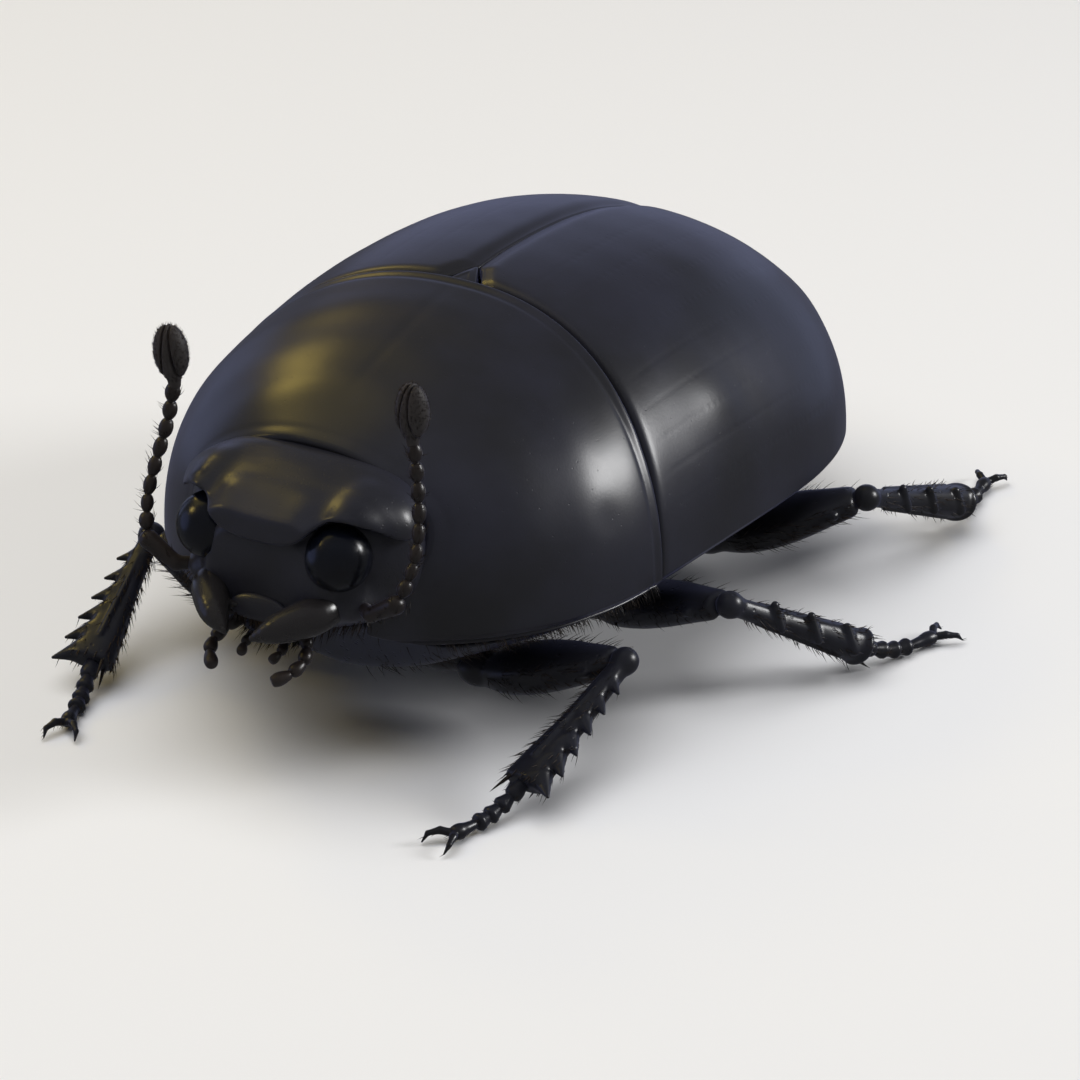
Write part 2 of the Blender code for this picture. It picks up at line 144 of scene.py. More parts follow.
@dataclass(frozen=True)
class Surface:
    """A mesh in millimetres: points, the corners of all faces in one row, and each face's size."""

    points: Array
    corners: Array
    sizes: Array
    places: Array | None = None  # of each corner on the map, or none

    @classmethod
    def of_faces(cls, points: Array, faces: Array, places: Array | None = None) -> "Surface":
        """Makes a surface from faces of one size, given as rows of point numbers."""
        return cls(np.asarray(points, float), faces.reshape(-1), np.full(len(faces), faces.shape[1]), places)

    @classmethod
    def joined(cls, parts: Sequence["Surface"]) -> "Surface":
        """Joins surfaces into one."""
        starts = np.cumsum([0] + [len(part.points) for part in parts[:-1]])
        mapped = all(part.places is not None for part in parts)
        return cls(
            np.concatenate([part.points for part in parts]),
            np.concatenate([part.corners + start for part, start in zip(parts, starts)]),
            np.concatenate([part.sizes for part in parts]),
            np.concatenate([part.places for part in parts]) if mapped else None,
        )

    @classmethod
    def loft(cls, rings: Array) -> "Surface":
        """Skins closed rings of equal count, and closes each end to its middle.

        Args:
            rings: Points in rows, of shape (rings, points in a ring, 3).

        Returns:
            A closed surface that faces out where a ring turns from +X to +Z and the rings run along +Y.
        """
        rows, count = rings.shape[:2]
        numbers = np.arange(rows * count).reshape(rows, count)
        across = np.roll(numbers, -1, axis=1)
        quads = np.stack([numbers[:-1], numbers[1:], across[1:], across[:-1]], axis=-1).reshape(-1, 4)
        hubs = rows * count
        first = np.stack([numbers[0], across[0], np.full(count, hubs)], axis=-1)
        last = np.stack([across[-1], numbers[-1], np.full(count, hubs + 1)], axis=-1)
        points = np.concatenate([rings.reshape(-1, 3), rings[[0, -1]].mean(axis=1)])
        caps = np.concatenate([first, last])
        return cls(
            points,
            np.concatenate([quads.reshape(-1), caps.reshape(-1)]),
            np.concatenate([np.full(len(quads), 4), np.full(len(caps), 3)]),
        )

    def mirrored(self) -> "Surface":
        """The same surface on the beetle's other side."""
        places = None if self.places is None else self.places[::-1]
        return Surface(self.points * (-1, 1, 1), self.corners[::-1], self.sizes[::-1], places)

    def facing_out(self) -> "Surface":
        """The surface with its faces turned outwards, if its volume says that they point in."""
        starts = np.cumsum(self.sizes) - self.sizes
        a = self.points[self.corners[starts]]
        b = self.points[self.corners[starts + 1]]
        c = self.points[self.corners[starts + 2]]
        d = self.points[self.corners[starts + self.sizes - 1]]
        volume = np.einsum("ij,ij->", a, np.cross(b, c)) + np.einsum("ij,ij->", a, np.cross(c, d))
        if volume >= 0:
            return self
        return Surface(self.points, self.corners[::-1], self.sizes[::-1], self.places)

    def normals(self) -> Array:
        """The outward direction at each point."""
        starts = np.cumsum(self.sizes) - self.sizes
        first, second, third = (self.corners[starts + k] for k in range(3))
        a, b, c = self.points[first], self.points[second], self.points[third]
        face = np.cross(b - a, c - a)
        total = np.zeros_like(self.points)
        for numbers in (first, second, third):
            np.add.at(total, numbers, face)
        return unit_rows(total)


# Solids.


BLOCK = 6  # fine cells along the side of a coarse block
NEAR = 1.35  # how near the surface a block's middle lies, in block sides, for the block to be filled
PULLS = 3  # how often a mesh's points are pulled onto the surface
PULL_REACH = 0.2  # how far apart the slope is measured, in cells
PULL_LIMIT = 0.4  # the longest pull, in cells
LEAST_SLOPE = 0.05  # the least steepness, squared, that a pull is reckoned with


def box_points(steps: Sequence[Array]) -> Array:
    """The points of a box's grid, in rows."""
    return np.stack(np.meshgrid(*steps, indexing="ij"), axis=-1).reshape(-1, 3)


def sampled(distance: Distance, low: Array, high: Array, cell: float) -> Array:
    """Distances at the middles of a box's fine cells.

    The box is looked over in coarse blocks first. A block that the surface isn't near keeps
    the distance of its middle in all its cells.

    Args:
        distance: Gives the distance of each row of points.
        low: The box's lowest corner.
        high: Its highest corner.
        cell: The side of a fine cell.

    Returns:
        The distances, in the box's three directions.
    """
    blocks = np.ceil((high - low) / (cell * BLOCK)).astype(int)
    middles = box_points([low[k] + cell * (np.arange(blocks[k]) + 0.5) * BLOCK for k in range(3)])
    coarse = distance(middles)
    near = np.abs(coarse) < cell * BLOCK * NEAR
    offsets = (box_points([np.arange(BLOCK)] * 3) + 0.5) * cell
    lowest = middles[near] - cell * BLOCK / 2
    tiles = np.repeat(coarse, BLOCK**3).reshape(-1, BLOCK, BLOCK, BLOCK)
    fine = distance((lowest[:, None, :] + offsets[None]).reshape(-1, 3))
    tiles[near] = fine.reshape(-1, BLOCK, BLOCK, BLOCK)
    return tiles.reshape(*blocks, BLOCK, BLOCK, BLOCK).transpose(0, 3, 1, 4, 2, 5).reshape(blocks * BLOCK)


def crossing_points(values: Array) -> tuple[Array, Array]:
    """Finds where the surface crosses the grid.

    Args:
        values: The distances on the grid.

    Returns:
        Which cells it crosses, and for each the mean of the places where it cuts the cell's
        edges, counted in cells.
    """
    inside = values < 0
    corners = [(i, j, k) for i in (0, 1) for j in (0, 1) for k in (0, 1)]
    spans = [tuple(slice(at, count - 1 + at) for at, count in zip(start, values.shape)) for start in corners]
    filled = sum(inside[span].astype(np.int8) for span in spans)
    crossed = (filled > 0) & (filled < len(corners))
    cells = np.argwhere(crossed)
    total, hits = np.zeros((len(cells), 3)), np.zeros(len(cells))
    for start in corners:
        for axis in (axis for axis in range(3) if not start[axis]):
            end = tuple(1 if k == axis else start[k] for k in range(3))
            a, b = values[tuple((cells + start).T)], values[tuple((cells + end).T)]
            cut = (a < 0) != (b < 0)
            spot = np.repeat(np.asarray([start], float), len(cells), axis=0)
            spot[:, axis] = np.where(cut, a / np.where(cut, a - b, 1.0), 0.0)
            total += spot * cut[:, None]
            hits += cut
    return crossed, cells + total / hits[:, None] + 0.5


def net_quads(inside: Array, number: Array) -> Array:
    """Puts a face round each line of the grid that the surface crosses.

    Args:
        inside: Which places of the grid lie inside.
        number: The number of each cell's point.

    Returns:
        The point numbers of each quad, which faces out.
    """
    quads = []
    for axis in range(3):
        across = [(axis + 1) % 3, (axis + 2) % 3]
        before, after = [slice(None)] * 3, [slice(None)] * 3
        before[axis], after[axis] = slice(0, -1), slice(1, None)
        a, b = inside[tuple(before)], inside[tuple(after)]
        for turn, flips in ((1, a & ~b), (-1, ~a & b)):
            lines = np.argwhere(flips)
            last = np.asarray(inside.shape)[across] - 1
            lines = lines[((lines[:, across] > 0) & (lines[:, across] < last)).all(axis=1)]
            ring = []
            for back in ((1, 1), (0, 1), (0, 0), (1, 0)):
                spot = lines.copy()
                spot[:, across] -= back
                ring.append(number[tuple(spot.T)])
            quads.append(np.stack(ring[::turn], axis=-1))
    return np.concatenate(quads)


def surface_net(distance: Distance, low: Array, high: Array, cell: float) -> Surface:
    """Meshes the surface where a distance is zero, with one point in each cell that it crosses.

    Args:
        distance: Gives the distance of each row of points.
        low: The lowest corner of the box that holds the surface.
        high: The box's highest corner.
        cell: The side of a cell.

    Returns:
        The surface, in quads.
    """
    values = sampled(distance, low, high, cell)
    crossed, spots = crossing_points(values)
    points = low + spots * cell
    number = np.full(crossed.shape, -1)
    number[crossed] = np.arange(len(points))
    reach = cell * PULL_REACH
    for _ in range(PULLS):
        here = distance(points)
        slope = np.stack([distance(points + reach * row) for row in np.eye(3)], axis=-1) - here[:, None]
        slope /= reach
        pull = here / np.maximum((slope**2).sum(axis=1), LEAST_SLOPE)
        points = points - slope * np.clip(pull, -PULL_LIMIT * cell, PULL_LIMIT * cell)[:, None]
    return Surface.of_faces(points, net_quads(values < 0, number))


@dataclass(frozen=True)
class Form:
    """A solid: each point's distance from its surface, negative inside, and a box that holds it."""

    distance: Distance
    low: Array
    high: Array

    @classmethod
    def ball(cls, centre: Point, radii: Point | float, turn: Array | None = None) -> "Form":
        """An ellipsoid.

        Args:
            centre: Its middle.
            radii: Its half sizes, or one radius.
            turn: Three unit vectors in rows, along which the half sizes lie.

        Returns:
            The solid.
        """
        centre, radii = np.asarray(centre, float), np.broadcast_to(np.asarray(radii, float), 3)
        turn = np.eye(3) if turn is None else turn

        def distance(points: Array) -> Array:
            local = (points - centre) @ turn.T
            size = np.linalg.norm(local / radii, axis=1)
            return size * (size - 1) / np.maximum(np.linalg.norm(local / radii**2, axis=1), 1e-9)

        reach = radii.max()
        return cls(distance, centre - reach, centre + reach)

    @classmethod
    def rod(cls, start: Point, end: Point, first: float, last: float | None = None) -> "Form":
        """A round rod with ball ends, whose radius runs from first to last."""
        start, end = np.asarray(start, float), np.asarray(end, float)
        last = first if last is None else last
        run = end - start
        length = float(run @ run)

        def distance(points: Array) -> Array:
            share = np.clip((points - start) @ run / length, 0, 1)
            away = np.linalg.norm(points - start - share[:, None] * run, axis=1)
            return away - first - (last - first) * share

        reach = max(first, last)
        return cls(distance, np.minimum(start, end) - reach, np.maximum(start, end) + reach)

    @classmethod
    def chain(cls, stops: Sequence[Point], radii: Sequence[float], soft: float = 0.0) -> "Form":
        """Rods from stop to stop, blended into one."""
        form = None
        for (start, first), (end, last) in pairwise(zip(stops, radii)):
            rod = cls.rod(start, end, first, last)
            form = rod if form is None else form.join(rod, soft)
        return form

    @classmethod
    def side_of(cls, point: Point, normal: Point) -> "Form":
        """All that lies behind a plane, which faces along the normal."""
        point, normal = np.asarray(point, float), unit(normal)
        return cls(lambda points: (points - point) @ normal, np.full(3, -np.inf), np.full(3, np.inf))

    @classmethod
    def limb(
        cls, start: Point, end: Point, flat: Point, across: Curve, through: Curve, power: float = 2.2
    ) -> "Form":
        """A limb of rounded section that swells and narrows along its length.

        Args:
            start: Its root.
            end: Its far end.
            flat: The direction that its broad side faces, nearly.
            across: Its half size in the broad plane, from root to end.
            through: Its half size through that plane.
            power: The squareness of the section, where 2 is an ellipse.

        Returns:
            The solid.
        """
        start, end = np.asarray(start, float), np.asarray(end, float)
        length = float(np.linalg.norm(end - start))
        axis, side, normal = limb_axes(start, end, flat)
        soft = min(min(across.stops), min(through.stops))

        def distance(points: Array) -> Array:
            local = points - start
            along = local @ axis
            share = np.clip(along / length, 0, 1)
            a, b = np.maximum(across.at(share), 0.02), np.maximum(through.at(share), 0.02)
            size = rounded_size((local @ side / a, local @ normal / b), power)
            section = (size - 1) * np.minimum(a, b)
            return -soft_least(-section, -np.maximum(-along, along - length), soft)

        reach = max(max(across.stops), max(through.stops))
        return cls(distance, np.minimum(start, end) - reach, np.maximum(start, end) + reach)

    @classmethod
    def spindle(cls, start: Point, end: Point, flat: Point, thick: float, swell: Sequence[float]) -> "Form":
        """A round limb.

        Args:
            start: Its root.
            end: Its far end.
            flat: Any direction across it, nearly.
            thick: Its radius.
            swell: Shares of the radius, from root to end.

        Returns:
            The solid.
        """
        radius = Curve([share * thick for share in swell])
        return cls.limb(start, end, flat, radius, radius, 2.0)

    def join(self, other: "Form", soft: float = 0.0) -> "Form":
        """Both solids as one, with a fillet of about the soft size where they meet."""
        return Form(
            lambda points: soft_least(self.distance(points), other.distance(points), soft),
            np.minimum(self.low, other.low),
            np.maximum(self.high, other.high),
        )

    def cut(self, other: "Form", soft: float = 0.0) -> "Form":
        """This solid without the other one."""
        return Form(
            lambda points: -soft_least(-self.distance(points), other.distance(points), soft),
            self.low,
            self.high,
        )

    def keep(self, other: "Form", soft: float = 0.0) -> "Form":
        """What lies inside both solids."""
        return Form(
            lambda points: -soft_least(-self.distance(points), -other.distance(points), soft),
            np.maximum(self.low, other.low),
            np.minimum(self.high, other.high),
        )

    def raised(self, height: Distance) -> "Form":
        """The solid with its surface raised by a height that varies from place to place."""
        return Form(lambda points: self.distance(points) - height(points), self.low, self.high)

    def both_sides(self) -> "Form":
        """The solid's left half and its mirror image."""
        high = self.high
        low = np.asarray([-high[0], self.low[1], self.low[2]])
        return Form(lambda points: self.distance(left_side(points)), low, high)

    def mesh(self, cell: float) -> Surface:
        """Meshes the solid in cells of about the given side."""
        margin = 2.5 * cell
        return surface_net(self.distance, self.low - margin, self.high + margin, cell)


def soft_least(a: Array, b: Array, soft: float) -> Array:
    """The smaller of two distances, rounded where they are close."""
    if soft <= 0:
        return np.minimum(a, b)
    overlap = np.maximum(soft - np.abs(a - b), 0) / soft
    return np.minimum(a, b) - overlap**3 * soft / 6


def limb_axes(start: Point, end: Point, flat: Point) -> tuple[Array, Array, Array]:
    """Unit vectors along a limb, across its broad plane, and out of that plane."""
    axis = unit(np.asarray(end, float) - start)
    normal = unit(np.asarray(flat, float) - axis * (axis @ np.asarray(flat, float)))
    return axis, np.cross(axis, normal), normal


# Finishes.


class Value:
    """A socket's value, with arithmetic: each operator adds the Math node that it stands for."""

    def __init__(self, mixer: "Mixer", socket: bpy.types.NodeSocket) -> None:
        """Wraps a socket of the mixer's material."""
        self.mixer = mixer
        self.socket = socket

    def __add__(self, other: "Value | float") -> "Value":
        """Adds."""
        return self.mixer.maths("ADD", self, other)

    def __sub__(self, other: "Value | float") -> "Value":
        """Takes the other away from this."""
        return self.mixer.maths("SUBTRACT", self, other)

    def __rsub__(self, other: float) -> "Value":
        """Takes this away from the number."""
        return self.mixer.maths("SUBTRACT", other, self)

    def __mul__(self, other: "Value | float") -> "Value":
        """Multiplies."""
        return self.mixer.maths("MULTIPLY", self, other)

    __radd__ = __add__


class Mixer:
    """Builds one material's nodes."""

    def __init__(self, name: str) -> None:
        """Starts a material with one Principled shader."""
        self.material = bpy.data.materials.new(name)
        self.material.use_nodes = True
        self.tree = self.material.node_tree
        self.shader = self.tree.nodes["Principled BSDF"]
        self.here = Value(self, self.node("ShaderNodeTexCoord").outputs["Object"])

    def set_input(self, socket: bpy.types.NodeSocket, value: object) -> None:
        """Links a wrapped value to a socket, or sets a plain one on it. A colour has three numbers."""
        if isinstance(value, Value):
            self.tree.links.new(value.socket, socket)
        else:
            socket.default_value = (*value, 1) if socket.type == "RGBA" else value

    def node(self, kind: str, settings: dict | None = None, inputs: dict | None = None) -> bpy.types.Node:
        """Adds any node.

        Args:
            kind: The node's type name.
            settings: Its settings, which are set first. A ramp's stops are given as "stops".
            inputs: Its sockets, by name or number, with a value or a wrapped socket for each.

        Returns:
            The node.
        """
        node = self.tree.nodes.new(kind)
        for name, value in (settings or {}).items():
            if name == "stops":
                for extra in range(len(value) - 2):
                    node.color_ramp.elements.new(0.5)
                for element, (place, colour) in zip(node.color_ramp.elements, value):
                    element.position = place
                    element.color = (*colour, 1)
            else:
                setattr(node, name, value)
        for name, value in (inputs or {}).items():
            self.set_input(node.inputs[name], value)
        return node

    def maths(self, operation: str, first: Value | float, second: Value | float = 0.0) -> Value:
        """Adds a Math node."""
        node = self.node("ShaderNodeMath", {"operation": operation}, {0: first, 1: second})
        return Value(self, node.outputs[0])

    def noise(
        self, size: float, detail: float = 3.0, stretch: Point = (1, 1, 1), roughness: float = 0.5
    ) -> Value:
        """Cloudy noise from 0 to 1.

        Args:
            size: The size of its larger features, in millimetres.
            detail: How many finer layers it has.
            stretch: How much longer the features are along each axis.
            roughness: How strong the finer layers are.

        Returns:
            The noise.
        """
        scale = self.node("ShaderNodeMapping", inputs={0: self.here, 3: tuple(1 / part for part in stretch)})
        inputs = {"Vector": Value(self, scale.outputs[0]), "Scale": 1 / (size * MM)}
        inputs |= {"Detail": detail, "Roughness": roughness}
        return Value(self, self.node("ShaderNodeTexNoise", inputs=inputs).outputs["Fac"])

    def cells(self, size: float, feature: str = "F1", jitter: float = 1.0) -> Value:
        """Distance to scattered points that lie a size in millimetres apart, in units of that size."""
        inputs = {"Vector": self.here, "Scale": 1 / (size * MM), "Randomness": jitter}
        node = self.node("ShaderNodeTexVoronoi", {"feature": feature}, inputs)
        return Value(self, node.outputs["Distance"])

    def clamped(self, value: Value, low: float, high: float) -> Value:
        """Maps a value from low..high to 0..1 with level ends."""
        settings = {"interpolation_type": "SMOOTHSTEP"}
        node = self.node("ShaderNodeMapRange", settings, {"Value": value, "From Min": low, "From Max": high})
        return Value(self, node.outputs["Result"])

    def blend(self, share: Value | float, first: object, second: object) -> Value:
        """Mixes two colours, the second one fully where the share is 1."""
        factor, first_colour, second_colour, result = 0, 6, 7, 2
        inputs = {factor: share, first_colour: first, second_colour: second}
        node = self.node("ShaderNodeMix", {"data_type": "RGBA"}, inputs)
        return Value(self, node.outputs[result])

    def relief(self, height: Value, depth: float) -> None:
        """Feeds the shader's normal with a bump whose full height is a depth in millimetres."""
        inputs = {"Height": height, "Strength": 1.0, "Distance": depth * MM}
        bump = self.node("ShaderNodeBump", inputs=inputs)
        self.set_input(self.shader.inputs["Normal"], Value(self, bump.outputs["Normal"]))

    def finish(self, **inputs: object) -> bpy.types.Material:
        """Sets the shader's sockets by name, with _ for a space, and gives back the material."""
        for name, value in inputs.items():
            self.set_input(self.shader.inputs[name.replace("_", " ")], value)
        return self.material


CHITIN_IOR = 1.56


@dataclass(frozen=True)
class Chitin:
    """The hard black shell: satin gloss, faint blue-violet depth, fine leathery relief and pits."""

    name: str
    base: Point = (0.0135, 0.0135, 0.0165)
    bloom: Point = (0.0185, 0.0190, 0.0290)  # where the sheen is strongest
    roughness: float = 0.33
    unevenness: float = 0.10  # how far the roughness wanders
    pit_dullness: float = 0.12  # how much rougher the pits are
    pit_gap: float = 0.32  # between pits, in millimetres
    pit_width: float = 0.16  # as a share of the gap
    pit_depth: float = 0.012
    grain: float = 0.05  # size of the leathery relief
    grain_depth: float = 0.0012
    wave: Point = (1, 1, 1)  # how the grain is stretched
    coat: float = 0.2
    coat_roughness: float = 0.26
    sheen: float = 0.12
    sheen_roughness: float = 0.35
    sheen_tint: Point = (0.42, 0.46, 0.95)

    def material(self) -> bpy.types.Material:
        """Builds the material."""
        mix = Mixer(self.name)
        cloud = mix.noise(3.0, 4.0)
        pits = mix.cells(self.pit_gap)
        pit = 1 - mix.clamped(pits, self.pit_width * 0.25, self.pit_width)
        grain = mix.noise(self.grain, 3.0, self.wave)
        scuff = mix.noise(0.9, 5.0, roughness=0.65)
        mix.relief(grain * (self.grain_depth / self.pit_depth) - pit, self.pit_depth)
        rough = self.roughness + (cloud + scuff - 1) * self.unevenness + pit * self.pit_dullness
        return mix.finish(
            Base_Color=mix.blend(mix.clamped(cloud, 0.35, 0.7), self.base, self.bloom),
            Roughness=rough,
            IOR=CHITIN_IOR,
            Coat_Weight=self.coat,
            Coat_Roughness=self.coat_roughness,
            Sheen_Weight=self.sheen,
            Sheen_Roughness=self.sheen_roughness,
            Sheen_Tint=self.sheen_tint,
        )


@dataclass(frozen=True)
class EyeGloss:
    """The polished eye, with its very fine facets."""

    name: str = "eye_gloss"
    deep: Point = (0.0015, 0.0022, 0.0050)
    pale: Point = (0.0025, 0.0035, 0.0075)
    facet: float = 0.034  # between facets
    facet_depth: float = 0.0009
    roughness: float = 0.22
    coat: float = 0.5
    coat_roughness: float = 0.2

    def material(self) -> bpy.types.Material:
        """Builds the material."""
        mix = Mixer(self.name)
        facets = mix.cells(self.facet, jitter=0.35)
        cloud = mix.noise(0.5, 2.0)
        mix.relief(1 - facets, self.facet_depth)
        return mix.finish(
            Base_Color=mix.blend(mix.clamped(cloud, 0.3, 0.75), self.deep, self.pale),
            Roughness=self.roughness + facets * 0.05,
            IOR=CHITIN_IOR,
            Coat_Weight=self.coat,
            Coat_Roughness=self.coat_roughness,
        )


@dataclass(frozen=True)
class Down:
    """Bristles and hairs."""

    name: str
    root: Point = (0.008, 0.006, 0.005)
    tip: Point = (0.030, 0.018, 0.010)
    roughness: float = 0.42

    def material(self) -> bpy.types.Material:
        """Builds the material."""
        mix = Mixer(self.name)
        shade = mix.clamped(mix.noise(0.6, 2.0), 0.3, 0.7)
        return mix.finish(
            Base_Color=mix.blend(shade, self.root, self.tip), Roughness=self.roughness + (shade - 0.5) * 0.1
        )


@dataclass(frozen=True)
class FloorPaint:
    """The plain pale floor."""

    name: str = "floor_paint"
    colour: Point = (0.82, 0.82, 0.83)

    def material(self) -> bpy.types.Material:
        """Builds the material."""
        mix = Mixer(self.name)
        return mix.finish(Base_Color=self.colour, Roughness=0.85, Specular_IOR_Level=0.2)


class Finish(Enum):
    """The finishes of the beetle, by what they cover."""

    WING_CASE = Chitin(
        "wing_case_shell",
        pit_gap=0.26,
        pit_width=0.11,
        pit_depth=0.0022,
        grain=0.07,
        wave=(1.6, 0.8, 1),
    )
    COLLAR = Chitin("collar_shell", pit_gap=0.22, pit_width=0.12, pit_depth=0.0025)
    HEAD = Chitin("head_shell", pit_gap=0.125, pit_width=0.24, pit_depth=0.0025, roughness=0.34)
    # The underside's base is darker than the upper shells'. This is partly its own deep blue and partly
    # painted shade for the belly that faces the floor.
    UNDERSIDE = Chitin(
        "underside_shell",
        base=(0.006, 0.007, 0.012),
        bloom=(0.009, 0.012, 0.030),
        roughness=0.36,
        pit_gap=0.20,
        pit_width=0.24,
        pit_depth=0.018,
    )
    LEG = Chitin(
        "leg_shell",
        base=(0.0095, 0.0095, 0.0115),
        bloom=(0.013, 0.014, 0.022),
        pit_gap=0.26,
        pit_width=0.2,
    )
    JAW = Chitin(
        "jaw_shell",
        base=(0.013, 0.012, 0.012),
        bloom=(0.018, 0.016, 0.017),
        roughness=0.26,
        unevenness=0.06,
        pit_gap=0.35,
        pit_width=0.1,
        pit_depth=0.006,
        coat=0.5,
        sheen=0.0,
    )
    FEELER = Chitin(
        "feeler_shell",
        base=(0.014, 0.011, 0.010),
        bloom=(0.022, 0.016, 0.014),
        roughness=0.36,
        pit_gap=0.12,
        pit_depth=0.004,
    )
    CLUB = Chitin(
        "club_down",
        base=(0.026, 0.022, 0.021),
        bloom=(0.038, 0.031, 0.029),
        roughness=0.62,
        pit_gap=0.035,
        pit_depth=0.003,
        coat=0.0,
    )
    EYE = EyeGloss()
    BRISTLE = Down("bristle")
    SPINE = Chitin(
        "spine",
        base=(0.010, 0.008, 0.007),
        bloom=(0.020, 0.014, 0.010),
        roughness=0.28,
        pit_gap=0.4,
        pit_depth=0.002,
    )
    FLOOR = FloorPaint()


class Workshop:
    """Turns surfaces into objects, each with its finish and its place in the frame."""

    def __init__(self, shift: Point) -> None:
        """Notes how far the beetle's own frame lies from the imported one, in millimetres."""
        self.shift = np.asarray(shift, float)
        self.materials: dict[Finish, bpy.types.Material] = {}

    def finish(self, finish: Finish) -> bpy.types.Material:
        """The material of a finish, made once."""
        if finish not in self.materials:
            self.materials[finish] = finish.value.material()
        return self.materials[finish]

    def place(
        self, name: str, surface: Surface, finish: Finish, slot: str, nodes: Sequence[str] = ()
    ) -> bpy.types.Object:
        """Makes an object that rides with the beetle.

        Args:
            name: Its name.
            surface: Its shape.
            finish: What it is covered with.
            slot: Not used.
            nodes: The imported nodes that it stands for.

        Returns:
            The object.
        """
        mesh = bpy.data.meshes.new(name)
        mesh.vertices.add(len(surface.points))
        mesh.vertices.foreach_set("co", ((surface.points + self.shift) * MM).astype(np.float32).reshape(-1))
        mesh.loops.add(len(surface.corners))
        mesh.loops.foreach_set("vertex_index", surface.corners.astype(np.int32))
        mesh.polygons.add(len(surface.sizes))
        starts = np.cumsum(surface.sizes) - surface.sizes
        mesh.polygons.foreach_set("loop_start", starts.astype(np.int32))
        mesh.polygons.foreach_set("use_smooth", np.ones(len(surface.sizes), bool))
        if surface.places is not None:
            bake_map = mesh.uv_layers.new(name="OFBake")
            bake_map.uv.foreach_set("vector", surface.places.astype(np.float32).reshape(-1))
        mesh.update(calc_edges=True)
        mesh.validate()
        mesh.materials.append(self.finish(finish))
        piece = bpy.data.objects.new(name, mesh)
        bpy.context.scene.collection.objects.link(piece)
        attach(piece, "root")
        if nodes:
            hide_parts(*nodes)
        LOG.info("%s: %d faces", name, len(surface.sizes))
        return piece

    def place_pair(
        self, name: str, surface: Surface, finish: Finish, slot: str, nodes: Sequence[str] = ()
    ) -> None:
        """Makes the left piece and its mirror image. Node names are given without their side."""
        for side, shape in (("left", surface), ("right", surface.mirrored())):
            self.place(f"{name}_{side}", shape, finish, slot, [f"{node}_{side}" for node in nodes])


# Bristles, hairs and spines.


@dataclass(frozen=True)
class Roots:
    """Places on a surface where hairs grow, and the outward direction at each."""

    points: Array
    normals: Array

    @classmethod
    def scattered(cls, surface: Surface, count: int, seed: int, where: Chooser) -> "Roots":
        """Scatters roots over part of a surface.

        Args:
            surface: The surface.
            count: How many roots to place.
            seed: Starts the scatter's own random numbers.
            where: Tells from the points and normals which of them may carry a root.

        Returns:
            The roots.
        """
        rng = np.random.default_rng(seed)
        normals = surface.normals()
        fit = np.flatnonzero(where(surface.points, normals))
        chosen = rng.choice(fit, min(count, len(fit)), replace=False)
        return cls(surface.points[chosen], normals[chosen])

    @classmethod
    def listed(cls, points: Sequence[Point], ways: Sequence[Point]) -> "Roots":
        """Roots at given points, each with the way that its hair points."""
        return cls(np.asarray(points), unit_rows(np.asarray(ways)))


